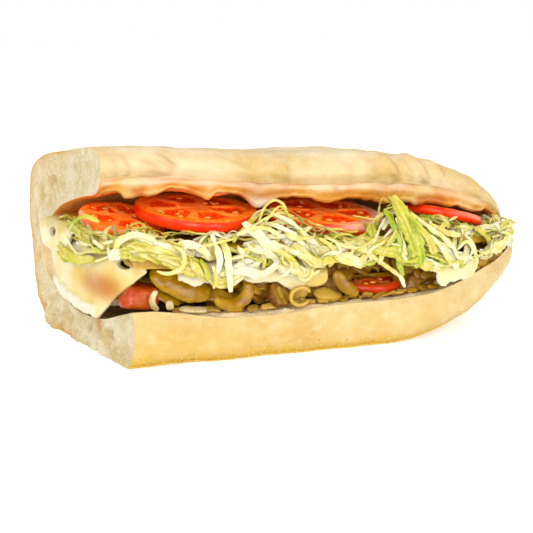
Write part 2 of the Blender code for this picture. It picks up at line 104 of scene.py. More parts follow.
# How many there are of each small thing
SMALL_PORES = 1300
CORNMEAL_GRAINS = 2600
SEEDS_IN_SLICE = 34
CHOPPED_PEPPERS = 96
CHOPPED_BITS = 46
LETTUCE_SHREDS = 320
LETTUCE_CURLS = 56

# Lamps: azimuth from the open front towards the tip, elevation, strength and spread, with angles in degrees
LAMPS = {
    "front_left": (-28, 17, 0.74, 34),
    "front_right": (18, 15, 0.58, 34),
    "top_left": (-74, 44, 0.42, 50),
    "back": (150, 48, 0.45, 50),
}
# How brightly the white world lights things; the camera sees it as plain white
SKY_LIGHT = 0.6
CAMERA_TARGET = np.array([-18.524, 0, 25.583])
CAMERA_ANGLES = (-20.829, 11.195)
CAMERA_DISTANCE = 512.295


# ---------------------------------------------------------------- noise and curves


def smoothstep(value):
    value = np.clip(value, 0, 1)
    return value * value * (3 - 2 * value)


def lattice(cells, seed):
    """A repeatable number from 0 to 1 for each row of whole-number coordinates."""
    x, y, z = (cells[..., i].astype(np.uint64) for i in range(3))
    with np.errstate(over="ignore"):
        mixed = x * np.uint64(73856093) ^ y * np.uint64(19349663) ^ z * np.uint64(83492791)
        mixed = (mixed ^ np.uint64(seed * 7919 + 17)) * np.uint64(0x9E3779B97F4A7C15)
        mixed = (mixed ^ (mixed >> np.uint64(29))) * np.uint64(0xBF58476D1CE4E5B9)
    mixed = mixed ^ (mixed >> np.uint64(32))
    return (mixed & np.uint64(0xFFFFFF)).astype(float) / 0xFFFFFF


def noise(points, size, seed=0):
    """Smooth noise from -1 to 1, in lumps of the given size."""
    places = np.asarray(points, float) / size
    base = np.floor(places).astype(np.int64)
    part = smoothstep(places - base)
    total = np.zeros(places.shape[:-1])
    for corner in np.ndindex(2, 2, 2):
        weight = np.prod(np.where(corner, part, 1 - part), axis=-1)
        total += weight * lattice(base + np.array(corner), seed)
    return 2 * total - 1


def fractal(points, size, seed, octaves=3):
    """Noise with finer and weaker layers added, one for each octave."""
    return sum(noise(points, size / 2**i, seed + i) * 0.5**i for i in range(octaves))


def along_curve(curve, at):
    """A value that a list of places and values gives between its places."""
    return np.interp(at, [row[0] for row in curve], [row[1] for row in curve])


def smooth_path(points, count):
    """Points on a Catmull-Rom curve through the given ones, evenly spaced."""
    given = np.array(points, float)
    ends = np.vstack([2 * given[0] - given[1], given, 2 * given[-1] - given[-2]])
    t = np.linspace(0, 1, 16, endpoint=False)[:, None]
    dense = []
    for a, b, c, d in zip(ends, ends[1:], ends[2:], ends[3:]):
        bend, twist = 2 * a - 5 * b + 4 * c - d, 3 * b - a - 3 * c + d
        dense.append(0.5 * (2 * b + (c - a) * t + bend * t**2 + twist * t**3))
    dense.append(given[-1:])
    dense = np.vstack(dense)
    along = np.concatenate([[0], np.cumsum(np.linalg.norm(np.diff(dense, axis=0), axis=1))])
    at = np.linspace(0, along[-1], count)
    return np.stack([np.interp(at, along, dense[:, i]) for i in range(dense.shape[1])], axis=1)


def arc_points(centre, radius_x, radius_z, start, end, depth, count=9):
    """Points on an upright oval arc that leans back by depth along its length; angles in degrees."""
    share = np.linspace(0, 1, count)
    angle = np.radians(start + (end - start) * share)
    return np.stack(
        [
            centre[0] + radius_x * np.cos(angle),
            centre[1] + depth * share,
            centre[2] + radius_z * np.sin(angle),
        ],
        axis=1,
    )


# ---------------------------------------------------------------- meshes


class Shape:
    """Vertices, faces and named vertex values gathered from several parts."""

    def __init__(self):
        self.points, self.faces, self.values, self.count = [], [], {}, 0

    def add(self, points, faces, **values):
        points = np.asarray(points, float).reshape(-1, 3)
        for name in values:
            self.values.setdefault(name, [np.zeros(self.count)] if self.count else [])
        for name, parts in self.values.items():
            value = np.asarray(values.get(name, 0), float).reshape(-1)
            parts.append(np.broadcast_to(value, len(points)) if value.size == 1 else value)
        self.points.append(points)
        self.faces += [np.asarray(kind) + self.count for kind in faces if len(kind)]
        self.count += len(points)

    def mesh(self, name):
        mesh = bpy.data.meshes.new(name)
        points = (np.vstack(self.points) + ORIGIN) * MM
        mesh.vertices.add(len(points))
        mesh.vertices.foreach_set("co", points.astype(np.float32).ravel())
        corners = np.concatenate([kind.ravel() for kind in self.faces])
        sizes = np.concatenate([np.full(len(kind), kind.shape[1]) for kind in self.faces])
        mesh.loops.add(len(corners))
        mesh.loops.foreach_set("vertex_index", corners.astype(np.int32))
        mesh.polygons.add(len(sizes))
        starts = np.concatenate([[0], np.cumsum(sizes)[:-1]])
        mesh.polygons.foreach_set("loop_start", starts.astype(np.int32))
        mesh.polygons.foreach_set("loop_total", sizes.astype(np.int32))
        mesh.update(calc_edges=True)
        mesh.validate()
        for value, parts in self.values.items():
            layer = mesh.attributes.new(value, "FLOAT", "POINT")
            layer.data.foreach_set("value", np.concatenate(parts).astype(np.float32))
        return mesh


def grid_faces(rows, columns, loop=False):
    """Quads of a grid of points, one row after another; loop joins each row's end to its start."""
    index = np.arange(rows * columns).reshape(rows, columns)
    if loop:
        index = np.hstack([index, index[:, :1]])
    a, b, c, d = index[:-1, :-1], index[:-1, 1:], index[1:, 1:], index[1:, :-1]
    return np.stack([a, b, c, d], axis=-1).reshape(-1, 4)


def grid_normals(grid):
    """Unit normals of a grid of points."""
    normals = np.cross(np.gradient(grid, axis=1), np.gradient(grid, axis=0))
    return normals / np.maximum(np.linalg.norm(normals, axis=-1, keepdims=True), 1e-9)


def fan(ring, centre):
    """Triangles from a ring of vertex numbers to a centre."""
    ring = np.asarray(ring)
    return np.stack([ring, np.roll(ring, -1), np.full(len(ring), centre)], axis=1)


def tube(shape, rings, values):
    """Adds a closed body through rings of points, closed at each end by a fan."""
    rings = np.asarray(rings, float)
    rows, columns = rings.shape[:2]
    points = np.vstack([rings.reshape(-1, 3), rings[0].mean(axis=0), rings[-1].mean(axis=0)])
    first, last = np.arange(columns), np.arange((rows - 1) * columns, rows * columns)
    ends = np.vstack([fan(first[::-1], rows * columns), fan(last, rows * columns + 1)])
    spread = {}
    for name, value in values.items():
        value = np.broadcast_to(np.asarray(value, float), (rows, columns))
        spread[name] = np.concatenate([value.ravel(), [value[0].mean(), value[-1].mean()]])
    shape.add(points, [grid_faces(rows, columns, loop=True)[:, ::-1], ends[:, ::-1]], **spread)


def piece(name, shape, material, nodes=(), angle=60):
    """Makes an object of the sandwich, in place of the given CAD nodes."""
    mesh = shape.mesh(name) if isinstance(shape, Shape) else shape
    mesh.materials.append(material)
    mesh.shade_smooth()
    mesh.set_sharp_from_angle(angle=math.radians(angle))
    made = bpy.data.objects.new(name, mesh)
    bpy.context.scene.collection.objects.link(made)
    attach(made, "root")
    if nodes:
        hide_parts(*nodes)


# ---------------------------------------------------------------- materials


# The studio light is stronger than plain white, so colours are set darker by this to look as given
LIGHT_GAIN = 1.8
# Pieces under the lid get less of it, so their colours are set lighter again
IN_SHADE = 1.85


def srgb(red, green, blue, gain=1):
    """A colour given as it looks on a screen in the studio light, from 0 to 255, for a shader."""
    shares = [value / 255 for value in (red, green, blue)]
    linear = [s / 12.92 if s <= 0.04045 else ((s + 0.055) / 1.055) ** 2.4 for s in shares]
    return tuple(min(value * gain / LIGHT_GAIN, 0.96) for value in linear) + (1,)


def shaded(red, green, blue):
    return srgb(red, green, blue, IN_SHADE)


class Look:
    """Builds one procedural material around a Principled shader."""

    def __init__(self, name, roughness, specular):
        self.material = bpy.data.materials.new(name)
        self.material.use_nodes = True
        self.tree = self.material.node_tree
        self.shader = self.tree.nodes["Principled BSDF"]
        self.place = self.node("ShaderNodeTexCoord").outputs["Object"]
        self.colour = self.normal = None
        self.set("Roughness", roughness)
        self.set("Specular IOR Level", specular)

    def node(self, kind, **settings):
        made = self.tree.nodes.new(kind)
        for name, value in settings.items():
            setattr(made, name, value)
        return made

    def plug(self, socket, value):
        if isinstance(value, bpy.types.NodeSocket):
            self.tree.links.new(value, socket)
        else:
            socket.default_value = value

    def set(self, name, value):
        self.plug(self.shader.inputs[name], value)

    def value(self, name):
        """A vertex value of the mesh."""
        return self.node("ShaderNodeAttribute", attribute_name=name).outputs["Fac"]

    def noise(self, size, detail=3, rough=0.5, stretch=(1, 1, 1)):
        """Noise with lumps of size millimetres, longer where stretch is above 1."""
        mapping = self.node("ShaderNodeMapping")
        self.plug(mapping.inputs["Vector"], self.place)
        mapping.inputs["Scale"].default_value = [1 / s for s in stretch]
        made = self.node("ShaderNodeTexNoise")
        self.plug(made.inputs["Vector"], mapping.outputs["Vector"])
        made.inputs["Scale"].default_value = 1 / (size * MM)
        made.inputs["Detail"].default_value = detail
        made.inputs["Roughness"].default_value = rough
        return made.outputs["Fac"]

    def cells(self, size):
        made = self.node("ShaderNodeTexVoronoi")
        self.plug(made.inputs["Vector"], self.place)
        made.inputs["Scale"].default_value = 1 / (size * MM)
        return made.outputs["Distance"]

    def math(self, operation, a, b, clamp=False):
        made = self.node("ShaderNodeMath", operation=operation, use_clamp=clamp)
        self.plug(made.inputs[0], a)
        self.plug(made.inputs[1], b)
        return made.outputs[0]

    def spread(self, value, low, high, to_low=0, to_high=1):
        """A value between low and high, spread smoothly over another range."""
        made = self.node("ShaderNodeMapRange", interpolation_type="SMOOTHSTEP")
        self.plug(made.inputs["Value"], value)
        for socket, number in zip(made.inputs[1:5], (low, high, to_low, to_high)):
            socket.default_value = number
        return made.outputs["Result"]

    def uneven(self, name, noise, *spread):
        """A vertex value made stronger and weaker by noise."""
        return self.math("MULTIPLY", self.value(name), self.spread(noise, *spread))

    def mix(self, share, a, b):
        made = self.node("ShaderNodeMix", data_type="RGBA")
        for socket, value in zip((made.inputs[0], made.inputs[6], made.inputs[7]), (share, a, b)):
            self.plug(socket, value)
        return made.outputs[2]

    def ramp(self, value, *stops):
        made = self.node("ShaderNodeValToRGB")
        elements = made.color_ramp.elements
        while len(elements) < len(stops):
            elements.new(0.5)
        for element, (place, colour) in zip(elements, stops):
            element.position = place
            element.color = colour
        self.plug(made.inputs["Fac"], value)
        return made.outputs["Color"]

    def blend(self, noise, low, high, *colours):
        """Evenly spaced colours over the part of the noise from low to high."""
        return self.ramp(self.spread(noise, low, high), *zip(np.linspace(0, 1, len(colours)), colours))

    def tint(self, share, colour, amount=None):
        """Lays a colour over the rest, by a socket or by the vertex value of that name."""
        share = self.value(share) if isinstance(share, str) else share
        if amount is not None:
            share = self.math("MULTIPLY", share, amount)
        self.colour = self.mix(share, self.colour, colour)

    def bump(self, height, depth, strength):
        """Adds a bump of the given depth in millimetres."""
        made = self.node("ShaderNodeBump")
        self.plug(made.inputs["Height"], height)
        made.inputs["Distance"].default_value = depth * MM
        made.inputs["Strength"].default_value = strength
        if self.normal is not None:
            self.plug(made.inputs["Normal"], self.normal)
        self.normal = made.outputs["Normal"]

    def finish(self, soft, wet=None):
        """Soft is a weight and how far red, green and blue sink in; wet is a coat's weight and roughness."""
        self.set("Base Color", self.colour)
        self.set("Normal", self.normal)
        self.set("Subsurface Weight", soft[0])
        self.set("Subsurface Scale", MM)
        self.set("Subsurface Radius", soft[1:])
        if wet:
            self.set("Coat Weight", wet[0])
            self.set("Coat Roughness", wet[1])
        return self.material


def crust_material():
    look = Look("baked_crust", 0.5, 0.35)
    look.colour = look.blend(
        look.noise(22, 4, 0.6), 0.3, 0.7, srgb(216, 177, 96), srgb(226, 193, 121), srgb(234, 207, 146)
    )
    look.tint(look.spread(look.noise(4.5, 5, 0.65, (1.5, 1, 1)), 0.48, 0.74), srgb(251, 228, 180), 0.55)
    look.tint(look.spread(look.noise(9, 4, 0.65), 0.5, 0.78), srgb(232, 174, 92), 0.6)
    look.tint(look.spread(look.noise(0.9, 3, 0.6), 0.6, 0.74), srgb(222, 164, 84), 0.45)
    look.tint("flour", srgb(255, 238, 204))
    look.tint("golden", srgb(230, 186, 62))
    # Browned on the top, and darkened in the wrinkles: painted shade there.
    look.tint("browned", srgb(214, 152, 74))
    look.set("Roughness", look.spread(look.noise(4), 0.3, 0.7, 0.42, 0.62))
    look.bump(look.noise(0.45, 3, 0.6), 0.12, 0.8)
    look.bump(look.noise(2.6, 3, 0.55), 0.3, 0.7)
    look.bump(look.noise(8, 3, 0.5, (2, 1, 1)), 0.6, 0.6)
    return look.finish((0.12, 2.4, 1.2, 0.5))


def crumb_material():
    look = Look("bread_crumb", 0.8, 0.2)
    fine = look.noise(1.1, 4, 0.65)
    look.colour = look.blend(look.noise(9, 3, 0.6), 0.3, 0.72, srgb(218, 194, 134), srgb(242, 228, 192))
    look.tint(look.spread(fine, 0.5, 0.72), srgb(247, 238, 216))
    # Pits and pores are darker: painted shade in the hollows of the crumb.
    look.tint("pit", srgb(206, 176, 118), 0.75)
    look.tint(look.uneven("toasted", look.noise(3), 0.25, 0.6, 0.55, 1), srgb(226, 176, 92))
    # The crumb along the lower lip and at the cut end is set much lighter: painted light against its shade.
    look.tint("lip", srgb(255, 226, 176, 1.75))
    # The hollow's roof gets a deep amber-red tint. It is partly juice taken up by the crumb and partly
    # painted reflected light from the tomatoes, and it is set lighter against its shade.
    look.tint(look.uneven("soaked", look.noise(6), 0.2, 0.6, 0.6, 1), shaded(255, 142, 24))
    # A darker brown over the hollow's floor and in one spot low on the cut face.
    look.tint("stain", srgb(214, 148, 74))
    look.bump(look.cells(1.1), 0.3, 0.5)
    look.bump(look.noise(0.45, 4, 0.7), 0.25, 0.8)
    look.bump(fine, 0.5, 0.9)
    return look.finish((0.25, 3, 2, 1.2))


def sauce_material():
    look = Look("pink_sauce", 0.3, 0.3)
    look.colour = look.blend(
        look.noise(14), 0.3, 0.7, srgb(226, 146, 42), srgb(238, 172, 70), srgb(248, 200, 122)
    )
    look.tint("thin", srgb(216, 114, 18), 0.9)
    look.tint("milky", srgb(255, 232, 204))
    look.bump(look.noise(2.2), 0.22, 0.5)
    return look.finish((0.35, 3, 1.6, 0.7), (0.2, 0.14))


def tomato_material():
    look = Look("tomato_flesh", 0.27, 0.15)
    grain = look.noise(2.4, 4, 0.6)
    flesh = (0, shaded(246, 88, 8)), (0.55, shaded(250, 118, 20)), (1, shaded(252, 140, 46))
    look.colour = look.ramp(look.spread(grain, 0.25, 0.75), *flesh)
    look.tint(look.uneven("pale", look.noise(3.5), 0.25, 0.7, 0.35, 0.9), shaded(250, 148, 62))
    look.tint("gel", look.blend(look.noise(1.8), 0.3, 0.7, shaded(214, 30, 4), shaded(240, 80, 10)))
    # The skin's colours are set lighter by 1.35: painted light against the shade under the lid.
    look.tint("skin", look.blend(look.noise(5), 0.3, 0.7, srgb(246, 40, 2, 1.35), srgb(252, 70, 4, 1.35)))
    # A pale pink glint on one side of the rim, set lighter by 1.35: painted highlight.
    look.tint("milky", srgb(255, 196, 160, 1.35))
    # A darker red laid over pieces that get more light than the slices under the lid: painted shade.
    look.tint("stewed", srgb(158, 58, 12))
    look.bump(grain, 0.16, 0.7)
    return look.finish((0.3, 2.6, 0.7, 0.2), (0.12, 0.08))


def seed_material():
    look = Look("tomato_seed", 0.25, 0.5)
    look.colour = look.mix(look.noise(1.2, 2), shaded(246, 160, 60), shaded(236, 118, 26))
    look.tint("green", shaded(150, 140, 40))
    look.bump(look.noise(0.5), 0.08, 0.5)
    return look.finish((0.3, 2, 1.2, 0.5), (0.3, 0.1))


def cheese_material():
    look = Look("sliced_cheese", 0.36, 0.3)
    look.colour = look.blend(
        look.noise(11, 3, 0.55), 0.3, 0.7, srgb(236, 210, 118), srgb(244, 225, 152), srgb(250, 238, 194)
    )
    # White: the slices' pale edges and torn hems, and on some slices lightened spots that are painted light.
    look.tint("white", srgb(248, 238, 206, 0.95))
    # Golden tint: the own colour of the front golden slice, and a painted glow round the amber spot on the
    # cut slice.
    look.tint("yellow", srgb(234, 196, 74))
    # A deep amber patch where the sauce behind would show through the slice: painted light.
    look.tint("orange", srgb(206, 128, 4))
    look.bump(look.noise(3.4, 3, 0.55), 0.25, 0.4)
    look.bump(look.noise(0.8, 3, 0.6), 0.08, 0.6)
    return look.finish((0.16, 2.6, 2, 0.9), (0.15, 0.16))


def pepper_material():
    look = Look("pickled_pepper", 0.24, 0.16)
    grain = look.noise(2.6, 4, 0.6, (2.5, 1, 1))
    look.colour = look.blend(grain, 0.25, 0.75, srgb(150, 100, 0), srgb(176, 126, 0), srgb(198, 150, 4))
    look.tint("pale", srgb(226, 184, 80))
    look.tint("brown", srgb(122, 66, 4))
    look.tint("edge", srgb(208, 168, 40))
    look.bump(grain, 0.14, 0.6)
    return look.finish((0.15, 2, 1.4, 0.1), (0.12, 0.04))


def onion_material():
    look = Look("raw_onion", 0.25, 0.35)
    fibres = look.noise(1, 3, 0.5, (1, 1, 6))
    look.colour = look.mix(look.spread(fibres, 0.3, 0.7), srgb(192, 166, 100), srgb(226, 206, 152))
    look.bump(fibres, 0.12, 0.6)
    return look.finish((0.4, 2.6, 2.2, 1.4), (0.25, 0.1))


def lettuce_material():
    look = Look("shredded_lettuce", 0.32, 0.25)
    blotch = look.spread(look.noise(3.2, 4, 0.65), 0.2, 0.8, -0.2, 0.2)
    look.colour = look.ramp(
        look.math("ADD", look.value("green"), blotch, True),
        (0, srgb(252, 243, 200, 1.05)), (0.24, srgb(246, 230, 150, 1.05)), (0.46, srgb(230, 208, 84)),
        (0.66, srgb(208, 202, 52)), (0.84, srgb(174, 194, 40)), (1, srgb(126, 168, 28)),
    )
    veins = look.noise(0.6, 3, 0.6, (3, 1, 1))
    look.tint(look.spread(veins, 0.5, 0.75), srgb(253, 244, 200, 1.1), 0.35)
    # The brown goes on the core between the shreds: painted shade in the gaps.
    look.tint("brown", srgb(206, 150, 14))
    look.bump(look.noise(1, 4, 0.65), 0.25, 0.8)
    return look.finish((0.45, 2.2, 1.9, 0.5), (0.12, 0.12))


def grain_material():
    look = Look("cornmeal", 0.6, 0.3)
    look.colour = look.mix(look.value("tone"), srgb(222, 172, 30), srgb(250, 220, 104))
    look.bump(look.noise(0.3), 0.05, 0.5)
    return look.finish((0.2, 1, 0.7, 0.3))


# ---------------------------------------------------------------- the roll


def tip_scale(x):
    """How much smaller the section is at x, towards the round tip."""
    share = min(max((x - SHOULDER_X) / (TIP_X - SHOULDER_X), 0), 1)
    return max(1 - share * share, 0) ** TIP_ROUNDNESS


def shut_lid(points, x):
    """Turns the points above the hinge down about it, by as much as the lid shuts at x."""
    points = np.array(points, float)
    share = LID_CLOSING * smoothstep((x - CUT_X - 8) / 95)
    share = share * smoothstep((points[:, 1] - HINGE[1] + 2) / 16)
    dy, dz = points[:, 0] - HINGE[0], points[:, 1] - HINGE[1]
    turned_y = HINGE[0] + dy * np.cos(share) - dz * np.sin(share)
    return np.stack([turned_y, HINGE[1] + dy * np.sin(share) + dz * np.cos(share)], axis=1)


def lip_wave(x):
    """How far the lid's cut lip hangs lower, as the soft crumb sags unevenly."""
    return 0.9 * math.sin(x / 9 + 0.8) + 0.7 * math.sin(x / 4.3)


def section(x, crust_points=CRUST_POINTS, crumb_points=CRUMB_POINTS):
    """The crust and the crumb outline of the roll at x, as arrays of Y and Z."""
    roof = ROOF_LIFT * smoothstep((x - CUT_X - 6) / 18)
    crumb = np.array(CRUMB)
    lifted = smoothstep((crumb[:, 0] + 12) / 14) * smoothstep((44 - crumb[:, 0]) / 12)
    crumb[:, 1] += roof * lifted * (crumb[:, 1] > 40)
    crumb[1, 1] -= lip_wave(x)
    scale = tip_scale(x)
    lift = EDGE_LIFT * (1 - scale)
    sag = along_curve(EDGE_SAG, x)
    outlines = []
    for points, count in ((CRUST, crust_points), (crumb, crumb_points)):
        path = smooth_path(shut_lid(points, x), count)
        y = TIP_CENTRE[0] + (path[:, 0] - TIP_CENTRE[0]) * scale
        low = path[:, 1] < TIP_CENTRE[1]
        z = TIP_CENTRE[1] + (path[:, 1] - TIP_CENTRE[1]) * np.where(low, scale**KEEL, scale)
        front = np.clip((-path[:, 0] - 20) / 25, 0, 1)
        high = np.clip((path[:, 1] - 8) / 14, 0, 1)
        rise = (lift * front - sag * front**2) * high * low
        outlines.append(np.stack([y, np.maximum(z + rise, 0)], axis=1))
    return outlines


def slant(x, y, z):
    """Where a section's point lies along the roll: on the slanted cut, or further back in the lid's tip."""
    shorter = LID_SHORTER * (1 - tip_scale(x)) * smoothstep((z - TIP_CENTRE[1] + 6) / 12)
    return x - y * CUT_SLANT * smoothstep(1 - (x - CUT_X) / CUT_FADE) - shorter


def placed(x, outline):
    """A section's outline as points in space."""
    y, z = outline[:, 0], outline[:, 1]
    return np.stack([slant(x, y, z), y, z], axis=1)


def roll_stations(count):
    """Places along the roll, closer together towards the tip."""
    last = math.asin(0.9995)
    body = (SHOULDER_X - CUT_X) / (SHOULDER_X - CUT_X + 1.25 * (TIP_X - SHOULDER_X))
    first = int(count * body)
    straight = np.linspace(CUT_X, SHOULDER_X, first, endpoint=False)
    turn = np.linspace(0, last, count - first)
    return np.concatenate([straight, SHOULDER_X + (TIP_X - SHOULDER_X) * np.sin(turn)])


def floor_under(x):
    """A function for the height of the crumb under the fillings at x, against Y."""
    crumb = section(x, 20, 60)[1]
    floor = crumb[int(np.argmax(crumb[:, 0])) :][::-1]
    return lambda y: float(np.interp(y, floor[:, 0], floor[:, 1]))


def crease(points, start, end, width, depth):
    """A soft groove along a line between two places, seen from the front: X and Z only."""
    flat = points[..., [0, 2]]
    a, b = np.array(start), np.array(end)
    along = np.clip(((flat - a) @ (b - a)) / ((b - a) @ (b - a)), 0, 1)
    away = np.linalg.norm(flat - (a + along[..., None] * (b - a)), axis=-1)
    return depth * np.exp(-((away / width) ** 2)) * np.sin(np.pi * np.clip(along, 0.02, 0.98)) ** 0.5


# Creases where the lid's crust wrinkled, as X and Z of their ends, width and depth
LID_CREASES = [
    ((13, 73), (19, 62), 1.6, 0.7), ((21.5, 74), (30.5, 60.5), 1.5, 1.9),
    ((30.5, 70), (36, 61.5), 1, 1), ((35, 73), (44, 58.5), 1.5, 2.1),
    ((47.5, 68), (51.5, 60), 1.2, 0.9), ((-22, 73), (-18, 64), 1.5, 0.9),
    ((-84, 75), (-80.5, 67.5), 1.2, 1.1), ((-72.5, 75.5), (-62, 70.5), 1, 1.2),
    ((-68, 73.5), (-64, 68.5), 1.3, 1), ((-77, 72.5), (-65, 68.2), 1.2, 1),
    ((-46, 74), (-34, 67.5), 1.8, 0.8), ((2, 74), (8, 64), 1.8, 0.8),
    ((66, 62), (72, 54), 1.6, 0.9), ((-88, 74), (-84, 66), 1.6, 0.7),
]


def crust_grid(stations):
    """The crust's points, with its lumps and wrinkles, and how deep each point is in a wrinkle."""
    grid = np.stack([placed(x, section(x)[0]) for x in stations])
    grid[-1] = grid[-1].mean(axis=0)
    normals = -grid_normals(grid)
    front = smoothstep((-grid[..., 1] - 2) / 14)
    seam = np.linspace(0, 1, CRUST_POINTS)
    inside = smoothstep(np.minimum(seam, 1 - seam) / 0.012)
    push = 0.55 * fractal(grid, 24, 3, 3) + 0.26 * fractal(grid, 7, 9, 3)
    lid = smoothstep((grid[..., 2] - 44) / 8)
    grooves = np.zeros(grid.shape[:2])
    for start, end, width, depth in LID_CREASES:
        groove = front * lid * crease(grid, start, end, width, depth)
        grooves += groove
        push -= groove
        ridge = (start[0] + 2.4 * width, start[1]), (end[0] + 2.4 * width, end[1])
        push += front * lid * crease(grid, *ridge, width * 1.3, depth * 0.55)
    under = smoothstep((3 - grid[..., 2]) / 3)
    push += under * 0.3 * fractal(grid, 2.2, 21, 3) * smoothstep(grid[..., 2] / 0.8)
    push *= smoothstep(np.arange(len(grid))[:, None] / 2) * inside * (0.4 + 0.6 * (grid[..., 2] > 0.02))
    moved = grid + normals * push[..., None]
    moved[..., 2] = np.maximum(moved[..., 2], 0)
    return moved, grooves


def ragged_cut(points, strength=1):
    """Moves points of the cut face: the crumb tore unevenly low at the back."""
    torn = smoothstep((22 - points[..., 2]) / 16) * smoothstep((points[..., 1] + 46) / 30)
    depth = 0.25 * fractal(points, 9, 31, 3) + torn * (1.4 * fractal(points, 5, 35, 3) + 0.4)
    shifted = points.copy()
    shifted[..., 0] += depth * strength
    return shifted


# Large pores of the cut face, as Y, Z, size along Y, size along Z and depth
BIG_PORES = [
    (27, 61, 4.2, 2.2, 1.7), (38.5, 54, 1.6, 4.2, 1.3), (45.5, 43, 1.5, 5.2, 1.3),
    (30, 53.5, 1.2, 2.6, 0.9), (44.5, 29, 1.2, 3.4, 1), (22, 8, 5, 1.5, 1.1),
    (-24, 9.5, 4.2, 2.2, 1.4), (-4, 6.5, 3.6, 1.2, 0.9), (4, 68.5, 3.4, 1, 0.8),
]


def pores(flat, draws):
    """Depth of the pores of a crumb face at the given Y and Z."""
    depth = np.zeros(flat.shape[:-1])
    spots = np.concatenate([flat, flat[..., :1] * 0], axis=-1)
    bent = flat.copy()
    bent[..., 0] += 1.3 * fractal(spots, 5, 91, 3)
    bent[..., 1] += 1.3 * fractal(spots, 5, 95, 3)
    found = list(BIG_PORES)
    low, high = flat.reshape(-1, 2).min(axis=0), flat.reshape(-1, 2).max(axis=0)
    for _ in range(SMALL_PORES):
        size = 0.35 + 0.6 * draws.random() ** 3
        shape = draws.uniform(0.5, 2)
        y, z = draws.uniform(low[0], high[0]), draws.uniform(low[1], high[1])
        found.append((y, z, size * shape, size / shape, 0.55 * size))
    for y, z, wide, high_size, deep in found:
        near = (np.abs(bent[..., 0] - y) < 2 * wide) & (np.abs(bent[..., 1] - z) < 2 * high_size)
        spot = bent[near]
        away = ((spot[:, 0] - y) / wide) ** 2 + ((spot[:, 1] - z) / high_size) ** 2
        depth[near] = np.maximum(depth[near], deep * np.exp(-(away**1.4)))
    return depth


def build_crust():
    """The crust: golden and floured, darker brown on its top and darkened in its wrinkles as painted shade.
    Gives its points, for what lies on it.
    """
    crust, grooves = crust_grid(roll_stations(ROLL_STATIONS))
    crust[0] = ragged_cut(crust[0])
    z = crust[..., 2]
    bottom = smoothstep((5.6 - z + 1.6 * fractal(crust, 3, 4, 3)) / 4)
    low_front = smoothstep((20 - z) / 14) * smoothstep((-crust[..., 1] - 20) / 10)
    left = smoothstep((-20 - crust[..., 0]) / 60)
    golden = np.clip(0.9 * bottom + 0.45 * low_front * (0.3 + 0.7 * left), 0, 1)
    flour = 0.5 * smoothstep((fractal(crust, 26, 6, 3) + 0.7) / 1.4) * smoothstep((z - 30) / 10)
    browned = 0.30 * smoothstep((z - 70) / 5) * smoothstep((fractal(crust, 8, 16, 3) + 0.5) / 1)
    # Wrinkles are darkened by their depth: painted shade.
    browned = np.clip(browned + 0.2 * grooves, 0, 0.9)
    shape = Shape()
    shape.add(crust, [grid_faces(*crust.shape[:2])[:, ::-1]], golden=golden, flour=flour, browned=browned)
    piece("roll_crust", shape, crust_material(), ["bread_roll"])
    return crust


def add_hollow(shape, crust):
    """The crumb round the fillings, from the lid's lip to the lower lip. Gives its edge at the cut."""
    inner = np.stack([placed(x, section(x)[1]) for x in roll_stations(ROLL_STATIONS)])
    inner[-1] = crust[-1, 0]
    normals = grid_normals(inner)
    across = np.linspace(0, 1, CRUMB_POINTS)
    inside = smoothstep(np.minimum(across, 1 - across) / 0.02)
    low = inner[..., 2] < 30
    rough = 0.55 * fractal(inner, 4.5, 41, 3) + 0.25 * noise(inner, 1.6, 44)
    rough = rough * np.where(low, 1, 0.6) - 0.35
    rough *= inside * smoothstep(np.arange(len(inner))[:, None] / 3)
    # Where the hollow's surface sinks in, its colour is darkened: painted shade.
    pit = smoothstep((-rough - 0.3) / 0.8) * 0.8
    inner += normals * rough[..., None]
    inner[:, 0], inner[:, -1] = crust[:, -1], crust[:, 0]
    inner[0] = ragged_cut(inner[0], 0.6)
    inner[0, 0], inner[0, -1] = crust[0, -1], crust[0, 0]
    past_lip = smoothstep((across[None, :] - 0.02) / 0.03)
    # The roof's tint: partly juice in the crumb, partly painted reflected light from the tomatoes.
    roof = (~low) * (0.5 + 0.5 * past_lip) * smoothstep((0.45 - across[None, :]) / 0.15)
    toasted = 0.65 * smoothstep((across[None, :] - 0.955) / 0.03)
    # The hollow's floor behind the lower lip is tinted a darker brown.
    wet = 0.8 * low * smoothstep((0.93 - across[None, :]) / 0.04) * smoothstep((inner[..., 0] + 94) / 8)
    # The lower lip's crumb gets a much lighter colour: painted light against its shade.
    lip = 0.85 * low * smoothstep((across[None, :] - 0.89) / 0.04) * smoothstep((inner[..., 0] + 84) / 8)
    # At the cut end the hollow's wall gets half that lightened colour, painted light as well, and some of the
    # toasted tan.
    at_cut = smoothstep((-84 - inner[..., 0]) / 6)
    lip = np.maximum(lip, 0.5 * at_cut)
    toasted = np.maximum(toasted, 0.3 * at_cut)
    shape.add(
        inner, [grid_faces(*inner.shape[:2])[:, ::-1]],
        pit=pit, soaked=roof * 0.92, toasted=toasted, stain=wet, lip=lip,
    )
    at = np.linspace(0, 1, CRUST_POINTS)
    return np.stack([np.interp(at, 1 - across[::-1], inner[0, ::-1, i]) for i in range(3)], axis=1)


